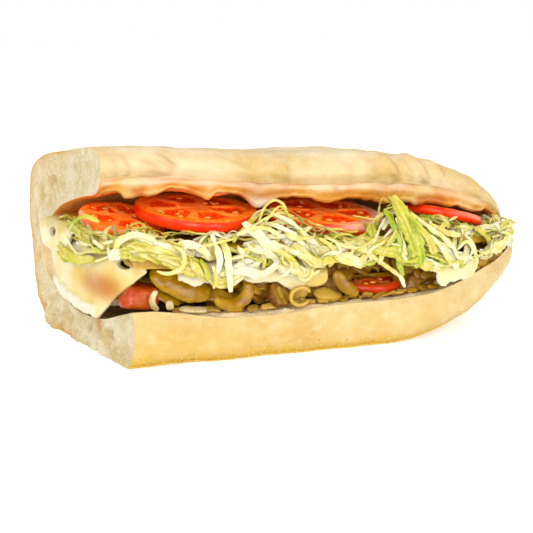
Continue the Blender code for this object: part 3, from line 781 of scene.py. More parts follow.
def add_cut_face(shape, outer_edge, inner_edge):
    """The crumb of the cut, with its pores, between the edges of the crust and of the hollow."""
    share = np.linspace(0, 1, CUT_DEPTH_POINTS)[:, None, None]
    cap = outer_edge * (1 - share) + inner_edge * share
    flat = cap[..., 1:]
    depth = pores(flat, random.Random(5))
    within = smoothstep(np.minimum(share, 1 - share)[..., 0] / 0.06)
    torn = ragged_cut(cap)[..., 0] - cap[..., 0]
    cap[..., 0] += within * (depth + torn + 0.16 * noise(cap, 1.3, 51))
    thickness = np.linalg.norm(inner_edge - outer_edge, axis=1)
    from_crust = share[..., 0] * thickness
    back_side = 0.12 + 0.88 * smoothstep((flat[..., 0] + 2) / 26)
    rim = (np.exp(-((from_crust / 0.8) ** 2)) + 0.75 * np.exp(-from_crust / 4)) * back_side
    # A darker brown spot low on the cut face.
    stain = 0.8 * np.exp(-((flat[..., 0] + 14) ** 2 + (flat[..., 1] - 11) ** 2) / 14)
    # Pores are darkened by their depth: painted shade.
    pit, toasted = np.clip(depth / 1.1, 0, 1), np.clip(rim, 0, 1)
    shape.add(cap, [grid_faces(*cap.shape[:2])[:, ::-1]], pit=pit, toasted=toasted, stain=stain)


def build_crumb(crust):
    shape = Shape()
    inner_edge = add_hollow(shape, crust)
    add_cut_face(shape, crust[0], inner_edge)
    piece("roll_crumb", shape, crumb_material(), ["bread_roll"], angle=75)


# How far the sauce hangs below the lid's edge: X and depth
SAUCE_HANGS = [
    (-98, 3), (-94, 6.2), (-84.5, 5.4), (-81.2, 8.2), (-76, 7.4), (-69.7, 6.8), (-63.8, 4.2),
    (-55.3, 5.8), (-49.4, 7.8), (-44.9, 5), (-36.5, 6.2), (-30.8, 10), (-26.7, 9.4), (-20, 6),
    (-8.8, 6), (0.1, 7.8), (9.1, 6.4), (17, 7.4), (25, 8.8), (33, 8), (40, 8.6), (47, 7.2),
    (54, 7.8), (61, 6.4), (67, 6.8), (72, 5.6), (77, 3.4),
]


def build_sauce(crust):
    """The thin sauce that squeezed out along the lid's edge and hangs in scallops."""
    columns, rows = 420, 26
    lip = crust[:, -1]
    before = crust[:, -6]
    xs = np.linspace(lip[0, 0] + 0.4, 77.5, columns)
    order = np.argsort(lip[:, 0])
    edge = np.stack([xs] + [np.interp(xs, lip[order, 0], lip[order, i]) for i in (1, 2)], axis=1)
    above = np.stack([xs] + [np.interp(xs, before[order, 0], before[order, i]) for i in (1, 2)], axis=1)
    hangs = smooth_path(SAUCE_HANGS, 600)
    hang = np.interp(xs, hangs[:, 0], hangs[:, 1])
    spot = np.stack([xs, xs * 0, xs * 0], axis=1)
    hang = np.maximum(hang + 0.35 * noise(spot, 2.6, 61), 1) * smoothstep((78 - xs) / 4)
    rise = 0.6 + 0.3 * noise(spot, 8, 62)
    outer = np.zeros((rows, columns, 3))
    share = np.linspace(0, 1, rows)
    for i, s in enumerate(share):
        drop = s * (hang + rise) - rise
        tuck = smoothstep(drop / 9) * 2.6
        up = np.clip(-drop, 0, None)[:, None]
        outer[i] = edge + (above - edge) * up / 1.6
        outer[i, :, 2] -= np.clip(drop, 0, None)
        outer[i, :, 1] += tuck
    bulge = np.sqrt(np.clip(1 - np.abs(2 * share - 1) ** 2.6, 0, 1))
    bead = 0.5 * np.exp(-(((share - 0.86) / 0.1) ** 2))
    lumps = 0.22 * fractal(outer, 5, 65, 2) + 0.12 * noise(outer, 1.8, 66)
    grown = smoothstep(share / 0.45)
    front = (0.8 * bulge * grown + bead)[:, None] * (1 + lumps) - 0.35 * (1 - grown)[:, None]
    folds = 0.35 * noise(outer * np.array([1, 0, 0.35]), 4.2, 68) * bulge[:, None]
    face = outer.copy()
    face[..., 1] -= front + folds
    back = outer.copy()
    back[..., 1] += 0.45 * bulge[:, None]
    rings = np.concatenate([face, back[::-1]], axis=0).transpose(1, 0, 2)
    thin = smoothstep((noise(outer, 7, 71) + 0.15) / 0.7) * smoothstep((share[:, None] - 0.35) / 0.4)
    milky = np.exp(-(((outer[..., 0] + 29) / 4.6) ** 2)) * smoothstep((share[:, None] - 0.45) / 0.3)
    creamy = smoothstep((0.62 - share[:, None]) / 0.3) * (0.36 + 0.22 * noise(outer, 5, 72))
    milky = np.maximum(milky, creamy)
    thin = thin * (1 - milky)
    values = {
        "thin": np.concatenate([thin, thin[::-1]]).T,
        "milky": 0.8 * np.concatenate([milky, milky[::-1]]).T,
    }
    shape = Shape()
    tube(shape, rings, values)
    piece("lid_sauce", shape, sauce_material())


def build_cornmeal(crust):
    """Grains of cornmeal baked on along the bottom edge."""
    draws = random.Random(11)
    shape = Shape()
    flat = crust.reshape(-1, 3)
    low = flat[(flat[:, 2] < 5.5) & (flat[:, 2] > 0.05)]
    ball = ball_points(6, 4)
    for _ in range(CORNMEAL_GRAINS):
        x, y, z = low[draws.randrange(len(low))]
        if draws.random() > math.exp(-z / 2) + 0.1:
            continue
        size = draws.uniform(0.2, 0.5)
        squash = np.array([draws.uniform(0.8, 1.4), draws.uniform(0.8, 1.2), draws.uniform(0.6, 1)])
        points = ball[0] * size * squash + (x, y, max(z, size))
        shape.add(points, [ball[1]], tone=draws.random())
    piece("baked_on_cornmeal", shape, grain_material())


def ball_points(around, high):
    """A small rounded body as points and triangles."""
    turn = np.linspace(0, 2 * math.pi, around, endpoint=False)
    rings = []
    for i in range(1, high):
        angle = math.pi * i / high
        across, up = np.sin(angle), np.full(around, np.cos(angle))
        rings.append(np.stack([across * np.cos(turn), across * np.sin(turn), up], axis=1))
    rows = len(rings)
    points = np.vstack(rings + [[[0, 0, 1]], [[0, 0, -1]]])
    quads = grid_faces(rows, around, loop=True)[:, ::-1]
    triangles = np.vstack([quads[:, :3], quads[:, [0, 2, 3]]])
    top = fan(np.arange(around), rows * around)
    bottom = fan(np.arange((rows - 1) * around, rows * around)[::-1], rows * around + 1)
    return points, np.vstack([triangles, top, bottom])


# ---------------------------------------------------------------- tomato


def slice_matrix(centre, forward, tipward):
    turn = Matrix.Rotation(math.radians(forward), 4, "X") @ Matrix.Rotation(math.radians(tipward), 4, "Y")
    return np.array(Matrix.Translation(Vector(centre)) @ turn)


def moved(points, matrix):
    points = np.asarray(points, float)
    return points @ matrix[:3, :3].T + matrix[:3, 3]


def tomato_pattern(x, y, radius, chambers, seed):
    """How much of each place in a slice is juicy gel, and how much is pale wall."""
    angle = np.arctan2(y, x) + seed * 0.7
    away = np.hypot(x, y) / radius
    wave = noise(np.stack([x, y, x * 0], axis=-1), 6, chambers) * 0.05
    sector = np.abs(np.sin(angle * chambers / 2 + 0.6 * wave))
    chamber = smoothstep((sector - 0.30) / 0.22)
    gel = chamber * smoothstep((away - 0.24 + wave) / 0.08) * smoothstep((0.80 + wave - away) / 0.06)
    wall = (1 - chamber) * smoothstep((0.86 - away) / 0.1)
    return gel, np.clip(wall + smoothstep((0.26 - away) / 0.1), 0, 1)


def disc_grid(radius, thickness, soft, power, angle, edge, inner, counts):
    """A disc's surface from the middle of its top over its rim to the middle below, and where its rim is."""
    top, turn, bottom = counts
    rows = [(away * (radius - soft), thickness / 2, 0) for away in np.linspace(inner, 1, top)]
    for step in np.linspace(0, math.pi, turn)[1:-1]:
        rows.append((radius - soft + soft * math.sin(step) ** power, thickness / 2 * math.cos(step), 1))
    rows += [(away * (radius - soft), -thickness / 2, 0) for away in np.linspace(1, inner, bottom)]
    grid = [[(r * e * math.cos(a), r * e * math.sin(a), z) for a, e in zip(angle, edge)] for r, z, _ in rows]
    return np.array(grid), np.array([row[2] for row in rows])[:, None]


def build_slice(name, spec, chambers, seed, nodes, milky=0, cut=False, peeled=0, stewed=0):
    """A tomato slice: skin round the rim, flesh, and chambers of gel with seeds."""
    centre, radius, thickness, *tilts = spec
    place = slice_matrix(centre, *tilts)
    angle = np.linspace(0, 2 * math.pi, 168, endpoint=False)
    edge = 1 + 0.025 * np.cos(3 * angle + centre[0]) + 0.012 * np.cos(5 * angle + 1)
    grid, rim = disc_grid(radius, thickness, 1.5, 0.8, angle, edge, 0.02, (44, 11, 16))
    gel, wall = tomato_pattern(grid[..., 0], grid[..., 1], radius, chambers, seed)
    top = smoothstep(np.abs(grid[..., 2]) / (thickness / 2) * 4 - 3)
    gel, wall = gel * top * (1 - rim), wall * top * (1 - rim)
    side = np.sign(grid[..., 2])
    dent = -0.75 * gel + 0.25 * noise(grid, 2.4, seed) * gel + 0.14 * fractal(grid, 4, seed + 3) * top
    grid[..., 2] += side * dent
    out = np.hypot(grid[..., 0], grid[..., 1])
    skin = smoothstep((out - radius * edge + 1.3) / 0.7) * (1 - peeled)
    pale = np.clip(wall * 0.9 + 0.15 * smoothstep(noise(grid, 5, seed + 5)), 0, 1)
    # The milky value is a painted highlight on one side of the rim.
    shine = milky * smoothstep((np.cos(np.arctan2(grid[..., 1], grid[..., 0]) + 0.5) - 0.1) / 0.8)
    shine = shine * smoothstep((out / radius - 0.72) / 0.14) * smoothstep((grid[..., 2] + 0.5) / 1)
    points = moved(grid, place)
    if cut:
        face = CUT_X + 0.9 - points[..., 1] * CUT_SLANT
        points[..., 0] = np.maximum(points[..., 0], face)
    shape = Shape()
    tube(shape, points, {"gel": gel, "pale": pale, "skin": skin, "milky": shine, "stewed": stewed})
    piece(name, shape, MATERIALS["tomato"], nodes)
    build_seeds(name + "_seeds", radius, thickness, place, chambers, seed, cut)


def build_seeds(name, radius, thickness, place, chambers, seed, cut):
    """The seeds in the gel of a slice, in pairs on its two faces."""
    draws = random.Random(seed)
    seeds = Shape()
    ball = ball_points(8, 6)
    while len(seeds.points) < SEEDS_IN_SLICE:
        x, y = draws.uniform(-radius, radius), draws.uniform(-radius, radius)
        if tomato_pattern(np.array(x), np.array(y), radius, chambers, seed)[0] < 0.75:
            continue
        spin = Matrix.Rotation(draws.uniform(0, 6.28), 4, "Z")
        spin = np.array(spin @ Matrix.Rotation(draws.uniform(-0.4, 0.4), 4, "X"))
        for side_z in (thickness / 2 - 0.62, -thickness / 2 + 0.62):
            body = ball[0] * (1.35, 0.85, 0.5)
            body[:, 1] *= 1 - 0.35 * body[:, 0] / 1.35
            body = moved(moved(body, spin) + (x, y, side_z), place)
            if cut and body[:, 0].min() < CUT_X + 1.4 - y * CUT_SLANT:
                continue
            seeds.add(body, [ball[1]], green=float(draws.random() < 0.3) * 0.7)
    piece(name, seeds, MATERIALS["seed"])


def build_wedge():
    """A thick cut end of a tomato on its side, with its flesh to the front."""
    side = 26
    steps = np.linspace(-1, 1, side)
    shape = Shape()
    turn = Matrix.Rotation(math.radians(6), 4, "Y") @ Matrix.Rotation(math.radians(-6), 4, "Z")
    place = np.array(Matrix.Translation(Vector(WEDGE_CENTRE)) @ turn)
    for axis in range(3):
        for sign in (-1, 1):
            u, v = np.meshgrid(steps, steps, indexing="ij")
            cube = np.stack(np.roll([np.full_like(u, sign), u, v], axis, axis=0), axis=-1)
            ball = cube / (np.sum(np.abs(cube) ** 5, axis=-1, keepdims=True) ** (1 / 5))
            body = ball * np.array(WEDGE_SIZE) / 2
            up = smoothstep((body[..., 2] + 4) / 8)
            body[..., 0] = body[..., 0] * (1 - 0.14 * up) + 0.6 * up
            body[..., 1] *= 1 - 0.1 * up
            body[..., 0] = np.where(body[..., 0] < 0, 1.6, 1) * body[..., 0]
            lumps = 0.3 * fractal(body, 4, 81, 3)
            body += ball * lumps[..., None]
            skin = smoothstep((body[..., 0] - 3.6) / 1.2) * 0.9
            gel = smoothstep((fractal(body, 5, 83, 2) - 0.05) / 0.3) * (1 - skin) * 0.8
            faces = grid_faces(side, side)[:, :: int(sign)]
            # The chunk is darkened: painted shade.
            shape.add(moved(body, place), [faces], skin=skin, gel=gel, pale=(1 - gel) * 0.15, stewed=0.8)
    chunk = cleaned(shape, "tomato_low_chunk", 0.02)
    piece("tomato_low_chunk", chunk, MATERIALS["tomato"], ["tomato_low_wedge"])


def cleaned(shape, name, joined=0.0):
    """The mesh of a shape without loose vertices, faces outward, and vertices closer than joined made one."""
    mesh = shape.mesh(name)
    body = bmesh.new()
    body.from_mesh(mesh)
    bmesh.ops.delete(body, geom=[vert for vert in body.verts if not vert.link_faces], context="VERTS")
    if joined:
        bmesh.ops.remove_doubles(body, verts=body.verts, dist=joined * MM)
    bmesh.ops.recalc_face_normals(body, faces=body.faces)
    body.to_mesh(mesh)
    body.free()
    return mesh


# ---------------------------------------------------------------- cheese


def cut_holes(points, faces, edge, seen, start, side, holes):
    """Opens holes in a sheet and draws the points round them onto their rims.

    Gives the faces that are left, and how far each point is from the nearest edge.
    """
    keep = np.ones(len(faces), bool)
    for hole_x, hole_z, size_x, size_z in holes:
        dx, dz = (points - np.array(start)) @ side - hole_x, points[:, 2] - hole_z
        away = np.hypot(dx / size_x, dz / size_z)
        inside = (away < 1) & seen
        keep &= ~inside[faces].all(axis=1)
        rim = inside | ((away < 1.35) & seen)
        pull = np.where(rim & (away > 0.3), 1 / np.maximum(away, 0.3), 1)
        touching = np.zeros(len(points), bool)
        touching[np.unique(faces[~keep])] = True
        snap = touching & rim
        points[snap] += side * (dx[snap] * (pull[snap] - 1))[:, None]
        points[snap, 2] = hole_z + dz[snap] * pull[snap]
        edge = np.minimum(edge, np.where(seen, np.abs(away - 1) * min(size_x, size_z) + 0.25, edge))
    return faces[keep], edge


def border_walls(faces, count):
    """Faces that join a sheet of count points to its copy, along its open edges."""
    directed = np.concatenate([faces[:, [i, (i + 1) % 4]] for i in range(4)])
    ends = np.sort(directed, axis=1)
    _, first, times = np.unique(ends, axis=0, return_index=True, return_counts=True)
    border = directed[first[times == 1]]
    return np.stack([border[:, 1], border[:, 0], border[:, 0] + count, border[:, 1] + count], axis=1)


def build_cheese(
    name, start, heading, width, run, drop, hem, node, seed,
    slope=0, bow=0, holes=(), spots=(), ragged=0, broken=None,
):
    """A cheese slice that lies flat for its run, then turns down over the edge of the fillings and hangs.

    The hem gives the share of the drop from side to side. A hole is its distance along the slice's width,
    its height and its two sizes. A spot is a vertex value with its X, Z, size and amount. A broken hem is
    torn up to a share of the width and a height.
    """
    angle = math.radians(heading)
    ahead = np.array([-math.sin(angle), -math.cos(angle), 0])
    side = np.array([math.cos(angle), -math.sin(angle), 0])
    bend = CHEESE_BEND * math.pi / 2
    across = np.linspace(-1, 1, CHEESE_COLUMNS)
    flat_rows = np.linspace(0, max(run - 8, 1), 6, endpoint=False)
    near = np.linspace(max(run - 8, 1), run, 10, endpoint=False)
    share = np.linspace(0, 1, 34)
    spot = np.stack([across * width / 2, across * 0, across * 0], axis=1)
    torn = ragged * fractal(spot, 3.4, seed + 7, 3)
    length = run + bend + np.maximum(drop * np.array([hem(aside) for aside in across]) + torn, 0.3)
    lying = np.repeat(np.concatenate([flat_rows, near])[:, None], CHEESE_COLUMNS, axis=1)
    along = np.vstack([lying, run + share[:, None] * (length - run)])
    aside = np.repeat(across[None], len(along), axis=0)
    arc = np.clip(along - run, 0, bend) / CHEESE_BEND
    tail = np.maximum(along - run - bend, 0)
    forward = np.minimum(along, run) + CHEESE_BEND * np.sin(arc) - bow * aside * aside * along / length
    down = CHEESE_BEND * (1 - np.cos(arc)) + tail + slope * aside * width / 2
    grid = np.array(start) + ahead * forward[..., None] + side * (aside * width / 2)[..., None]
    grid[..., 2] -= down
    hang = smoothstep((along - run) / 6)
    normals = grid_normals(grid)
    if normals[0, CHEESE_COLUMNS // 2, 2] < 0:
        normals = -normals
    wavy = 0.9 * noise(grid, 12, seed) + 0.45 * noise(grid, 5, seed + 1)
    band = np.zeros(along.shape)
    if broken:
        band = smoothstep((broken[1] + 1.2 * noise(grid, 4, seed + 9) - (length[None, :] - along)) / 1)
        band = band * smoothstep((broken[0] - aside) / 0.06)
        wavy = wavy + band * (0.9 + 0.8 * fractal(grid, 3.4, seed + 10, 2))
    grid = grid + normals * (wavy * (0.4 + 0.6 * hang))[..., None]
    rows, columns = grid.shape[:2]
    edge = np.minimum.reduce([(1 - np.abs(aside)) * width / 2, length[None, :] - along, along + 0.6])
    flat_points, flat_normals = grid.reshape(-1, 3), normals.reshape(-1, 3)
    seen = along.reshape(-1) > run - 6
    faces, edge = cut_holes(
        flat_points, grid_faces(rows, columns), edge.reshape(-1), seen, start, side, holes
    )
    rounded = 1 - (1 - np.clip(edge / 0.9, 0.12, 1)) ** 2
    half = CHEESE_THICKNESS / 2 * np.sqrt(np.clip(rounded, 0.05, 1))
    front = flat_points + flat_normals * half[:, None]
    back = flat_points - flat_normals * half[:, None]
    count = len(flat_points)
    values = {"white": np.maximum(np.exp(-((edge / 0.8) ** 2)) * 0.7, band.reshape(-1))}
    for kind, spot_x, spot_z, size, amount in spots:
        away = np.hypot(flat_points[:, 0] - spot_x, flat_points[:, 2] - spot_z) / size
        glow = amount * np.exp(-(away**3)) * (along.reshape(-1) > run - 4) * (1 - band.reshape(-1))
        values[kind] = np.maximum(values.get(kind, 0), glow)
    shape = Shape()
    doubled = {key: np.concatenate([value, value]) for key, value in values.items()}
    sides = [faces, faces[:, ::-1] + count, border_walls(faces, count)]
    shape.add(np.vstack([front, back]), sides, **doubled)
    piece(name, cleaned(shape, name), MATERIALS["cheese"], [node])


def build_all_cheese():
    def corner(u):
        return 1 - 1.31 * (u - 0.32) if u > 0.32 else 1 - 0.18 * (0.32 - u)

    def rounded(u):
        return math.sqrt(max(1 - abs(u) ** 3, 0))

    def ragged(u):
        return 0.75 + 0.2 * math.cos(5 * u + 0.6) - 0.35 * abs(u) ** 3

    def lobed(u):
        return 0.45 + 0.55 * math.exp(-(((u - 0.55) / 0.4) ** 2)) - 0.3 * abs(u) ** 6

    build_cheese(
        "cheese_at_the_cut", (-78.2, -2.4, 40.6), 75, 70, 15.4, 22.6, corner, "cheese_cut_end_low", bow=8,
        # The amber spot, and the golden one round it, are painted light coming through this slice from the
        # sauce behind.
        holes=[(27, 37, 2.8, 1.6)], spots=[("orange", -91, 27.4, 5, 1), ("yellow", -91, 28, 9, 0.7)],
        seed=101, ragged=0.45, broken=(0.34, 5.6),
    )
    build_cheese(
        "cheese_above_the_cut", (-86.8, 14.6, 46.4), 80, 30, 13, 6.6, rounded, "cheese_cut_end_high", bow=1,
        holes=[(1, 43.4, 3.2, 1.7)], seed=102,
    )
    # The white spots on the front and tip slices lighten lobes that lie in shade: painted light.
    build_cheese(
        "cheese_front_left", (-59.2, 12, 35.8), 0, 19.6, 51.4, 2.6, ragged, "cheese_front_1",
        spots=[("white", -58, 31, 14, 0.7)], seed=103, ragged=1.4,
    )
    build_cheese(
        "cheese_front_middle", (-30, 12, 34.6), 0, 27, 49.5, 7, lobed, "cheese_front_2",
        spots=[("white", -36, 30, 9, 0.4)], seed=104, ragged=0.6,
    )
    build_cheese(
        "cheese_front_yellow", (-11.4, 8, 31.6), 3, 11.2, 43, 3.6, rounded, "cheese_front_3",
        spots=[("yellow", -14, 27, 9, 0.8)], seed=105,
    )
    build_cheese(
        "cheese_at_the_tip", (37.8, -8, 29.5), -14, 19, 31, 4, rounded, "cheese_tip", slope=-0.12,
        spots=[("white", 48, 26, 10, 0.4)], seed=106, ragged=1.5,
    )


# ---------------------------------------------------------------- peppers, pickles and onion


def path_frame(path, face):
    """Unit directions out of a path, as near to the given facing as they can be, and across it."""
    ahead = np.gradient(path, axis=0)
    ahead /= np.maximum(np.linalg.norm(ahead, axis=1, keepdims=True), 1e-6)
    out = np.array(face) - (ahead @ np.array(face))[:, None] * ahead
    out /= np.maximum(np.linalg.norm(out, axis=1, keepdims=True), 1e-6)
    return out, np.cross(ahead, out)


def strip_rings(points, width, thickness, face, steps, seed, sides=20, taper=0.55, lumps=0.12):
    """Rings of an oval strip along a smooth path, its wide side facing the given way."""
    path = smooth_path(points, steps)
    out, wide_way = path_frame(path, face)
    end = np.abs(np.linspace(-1, 1, steps))
    size = np.sqrt(np.clip(1 - end**10, 0.02, 1)) * (1 - (1 - taper) * end**4)
    turn = np.linspace(0, 2 * math.pi, sides, endpoint=False)
    wide = np.sign(np.cos(turn)) * np.abs(np.cos(turn)) ** 0.75
    thick = np.sign(np.sin(turn)) * np.abs(np.sin(turn)) ** 0.75
    sideways = wide_way[:, None] * (wide * width / 2)[:, None]
    outward = out[:, None] * (thick * thickness / 2)[:, None]
    rings = path[:, None] + size[:, None, None] * (sideways + outward)
    around = rings - path[:, None]
    rings += around * (lumps * fractal(rings, 4, seed, 2))[..., None]
    return rings, wide, thick


def build_strip(name, points, width, thickness, face, node, seed, steps=44, taper=0.55, pale=0, brown=0):
    """A pickled strip: dark glossy skin to the front, paler flesh behind and along its edges."""
    rings, wide, thick = strip_rings(points, width, thickness, face, steps, seed, taper=taper)
    edge = smoothstep((np.abs(wide) - 0.8) / 0.18) * (np.abs(thick) < 0.75)
    shape = Shape()
    values = {
        "pale": np.clip(pale + 0.8 * smoothstep((-thick - 0.1) / 0.4), 0, 1),
        "edge": 0.7 * edge,
        "brown": brown * smoothstep((noise(rings, 5, seed + 3) + 0.3) / 0.8),
    }
    tube(shape, rings, values)
    piece(name, shape, MATERIALS["pepper"], [node])


def chip_points(radius, thickness, ribs, seed):
    """A pickle chip with a crinkled rim: its grid in its own frame, and values for its rind and core."""
    angle = np.linspace(0, 2 * math.pi, 72, endpoint=False)
    crinkle = 1 + 0.035 * np.cos(ribs * angle) + 0.02 * np.cos(3 * angle + seed)
    grid, _ = disc_grid(radius, thickness, 0.7, 1, angle, crinkle, 0.03, (20, 9, 8))
    out = np.hypot(grid[..., 0], grid[..., 1]) / radius
    side = np.sign(grid[..., 2])
    ripple = 0.30 * np.sin(grid[..., 0] * 2.4) * smoothstep((1 - out) / 0.1)
    core = smoothstep((0.45 - out) / 0.14)
    rough = 0.16 * fractal(grid, 2.4, seed, 3) * smoothstep((1 - out) / 0.05)
    grid[..., 2] += ripple + side * (-0.35 * core + rough)
    return grid, smoothstep((out - 0.84) / 0.08), core


def build_chip(name, centre, radius, thickness, forward, heading, ribs, node, seed, brown):
    turn = Matrix.Rotation(math.radians(heading), 4, "Z") @ Matrix.Rotation(math.radians(forward), 4, "X")
    grid, rind, core = chip_points(radius, thickness, ribs, seed)
    shape = Shape()
    values = {
        "edge": core * 0.5 * (1 - rind),
        "pale": 0.35 * (1 - rind),
        "brown": np.clip(brown + 0.5 * rind, 0, 1),
    }
    tube(shape, moved(grid, np.array(Matrix.Translation(centre) @ turn)), values)
    piece(name, shape, MATERIALS["pepper"], [node])


def build_peppers():
    long_strip = [
        (-76.6, -34, 35), (-72, -36.6, 31.6), (-66, -37.6, 28), (-59, -37.6, 26), (-54.6, -36.8, 25.8),
    ]
    build_strip("pepper_long", long_strip, 9, 3.6, (0, -0.93, 0.36), "pepper_strip_long", seed=201)
    ring = arc_points((-47.3, -40.8, 26.5), 7.2, 6, 200, 395, 4)
    build_strip("pepper_curl", ring, 5, 3.2, (0.1, -0.9, 0.4), "pepper_ring", seed=202, steps=60)
    build_chip("pickle_left", (-28.6, -39.2, 22.8), 5.3, 2.8, 58, 24, 14, "pickle_chip_1", 203, 0.55)
    small = arc_points((-21.2, -43.4, 22.3), 4, 3.4, 20, 330, 0.6, 16)
    build_strip("pepper_small", small, 1.6, 1.6, (0, -1, 0.2), "pepper_ring_small", 204, taper=0.8, pale=0.75)
    bent = [(-5.4, -38.8, 30.2), (-3.6, -39.6, 27), (-0.8, -40.2, 23.6), (3.8, -40.6, 20.4)]
    build_strip("pepper_bent", bent, 4.8, 2.2, (-0.3, -0.9, 0.3), "pepper_strip_bent", seed=205, brown=0.3)
    pale = [(-14, -38.4, 22), (-8.5, -39, 21.3), (-4.2, -36, 20.6), (-2.6, -30, 20.3)]
    build_strip("pepper_pale", pale, 6, 2.6, (0, -0.6, 0.8), "pepper_strip_pale", pale=0.7, seed=206)
    build_chip("pickle_right", (26.6, -33, 30.4), 5.6, 3, 58, -16, 12, "pickle_chip_2", 207, 0.2)
    tip_strip = [(66, -18, 28.2), (71, -19.5, 29.4), (76, -17, 31)]
    build_strip("pepper_near_tip", tip_strip, 5.4, 3, (0, -0.8, 0.6), "pepper_tip_strip", seed=208)
    curl = arc_points((79.5, -13, 33.6), 4.2, 4.2, 190, 340, 4)
    build_strip("pepper_tip_end", curl, 5, 2.6, (0, -1, 0.2), "pepper_tip_curl", seed=209)


def build_onion():
    hook = arc_points((-74.6, -42.8, 25.2), 4, 4, 120, 250, 1)
    upright = [(-72.4, -42.6, 24.8), (-72.2, -42.8, 22.8), (-72, -42.9, 21.2)]
    flat = [(-68.6, -42.2, 21.2), (-63.2, -43, 20.6), (-58, -43.2, 20.2)]
    kinds = (
        ("onion_curl", hook, 2.4, 1.2, (-0.5, -0.85, 0.1), "onion_hook"),
        ("onion_short", upright, 3, 1.4, (0, -0.95, 0.3), "onion_upright"),
        ("onion_lying", flat, 3, 1.6, (0, -0.5, 0.85), "onion_flat"),
    )
    for seed, (name, points, width, thickness, face, node) in enumerate(kinds, 221):
        rings, _, _ = strip_rings(points, width, thickness, face, 30, seed, lumps=0.08)
        shape = Shape()
        tube(shape, rings, {})
        piece(name, shape, MATERIALS["onion"], [node])


def shrunk_copy(name, node, distance, material, values):
    """A smaller copy of a CAD heap, which shows only in the gaps between the things on it."""
    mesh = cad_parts[node].data
    points = np.empty(len(mesh.vertices) * 3, np.float32)
    mesh.vertices.foreach_get("co", points)
    points = points.reshape(-1, 3).astype(float)
    index, inverse = np.unique(np.round(points / (0.01 * MM)).astype(np.int64), axis=0, return_inverse=True)
    inverse = inverse.reshape(-1)
    triangles = np.array([list(face.vertices) for face in mesh.polygons])
    first, second, third = (points[triangles[:, i]] for i in range(3))
    cross = np.cross(second - first, third - first)
    normals = np.zeros((len(index), 3))
    for corner in range(3):
        np.add.at(normals, inverse[triangles[:, corner]], cross)
    normals /= np.maximum(np.linalg.norm(normals, axis=1, keepdims=True), 1e-12)
    shape = Shape()
    points = points / MM - ORIGIN - normals[inverse] * distance
    shape.add(points, [triangles], **values(points))
    piece(name, cleaned(shape, name, 0.05), material, [node])


def build_chopped(draws):
    """Chopped peppers along the front of the pepper layer."""
    shape = Shape()
    for index in range(CHOPPED_PEPPERS):
        x = -71 + 146 * (index + draws.random()) / CHOPPED_PEPPERS
        floor = floor_under(x)
        scale = 0.3 + 0.7 * tip_scale(x)
        y = TIP_CENTRE[0] + (-33 + draws.uniform(-3.5, 3) - TIP_CENTRE[0]) * scale
        over_tomato = abs(x - LOW_TOMATO[0][0]) < 13
        y += 7 * over_tomato
        base = 27.5 if over_tomato else floor(y) + 2.2
        z = base + draws.uniform(0, max(heap_base(x) - 6 - base, 1))
        span = draws.uniform(4, 7.5)
        lean = draws.uniform(-0.9, 0.9)
        arc = draws.uniform(-2.5, 2.5)
        points = [
            (x - span * math.cos(lean), y + 1.5, z - span * math.sin(lean) * 0.5),
            (x, y - draws.uniform(0, 1.5), z + arc * 0.6),
            (x + span * math.cos(lean), y + 1.5, z + span * math.sin(lean) * 0.5),
        ]
        points = [(a, b, max(c, floor(b) + 2)) for a, b, c in points]
        width, thick = draws.uniform(3.5, 6.5), draws.uniform(1.3, 2.2)
        face = (draws.uniform(-0.6, 0.6), -0.9, draws.uniform(-0.2, 1.2))
        rings, _, _ = strip_rings(points, width, thick, face, 20, index, 12, 0.8, 0.3)
        pale = draws.choice((0, 0, 0.15, 0.5, 0.8))
        tube(shape, rings, {"pale": pale, "brown": draws.choice((0, 0.3, 0.8)), "edge": 0})
    piece("chopped_peppers", shape, MATERIALS["pepper"], ["pepper_layer"])


def build_bits(draws):
    """Small bits fallen by the lower lip."""
    bits = Shape()
    for index in range(CHOPPED_BITS):
        x = -70 + 142 * (index + draws.random()) / CHOPPED_BITS
        floor = floor_under(x)
        y = TIP_CENTRE[0] + (draws.uniform(-42, -36) - TIP_CENTRE[0]) * tip_scale(x)
        length, width, thick = draws.uniform(3, 8), draws.uniform(1.6, 3.2), draws.uniform(1.1, 2)
        if abs(x - LOW_TOMATO[0][0]) < 12:
            width *= 0.6
        heading, tip_up = draws.uniform(-0.5, 0.5), draws.uniform(-1.4, 1.4)
        points = []
        for s in (-0.5, 0, 0.5):
            px, py = x + s * length * math.cos(heading), y + s * length * math.sin(heading)
            points.append((px, py, floor(py) + thick * 0.5 + s * tip_up + draws.uniform(-0.2, 0.9)))
        face = (draws.uniform(-0.5, 0.5), draws.uniform(-1.2, -0.2), 0.8)
        rings, _, _ = strip_rings(points, width, thick, face, 14, 900 + index, 12, 0.85, 0.35)
        pale = draws.choice((0.1, 0.4, 0.7, 0.95))
        tube(bits, rings, {"pale": pale, "brown": draws.choice((0, 0, 0.4)), "edge": 0})
    piece("chopped_bits", bits, MATERIALS["pepper"], ["pepper_layer"])


def build_pepper_layer():
    def tones(points):
        at_cut = smoothstep((-70 - points[:, 0]) / 6)
        return {"brown": 0.35 * (1 - at_cut), "pale": at_cut}

    shrunk_copy("pepper_core", "pepper_layer", 1.6, MATERIALS["pepper"], tones)
    draws = random.Random(31)
    build_chopped(draws)
    build_bits(draws)


# ---------------------------------------------------------------- lettuce


def heap_base(x):
    """Height of the lettuce's underside: it lies on the cheese, lower towards the tip."""
    return 40 - 4.2 * smoothstep((x + 85) / 80) - 6.2 * smoothstep((x - 15) / 60)


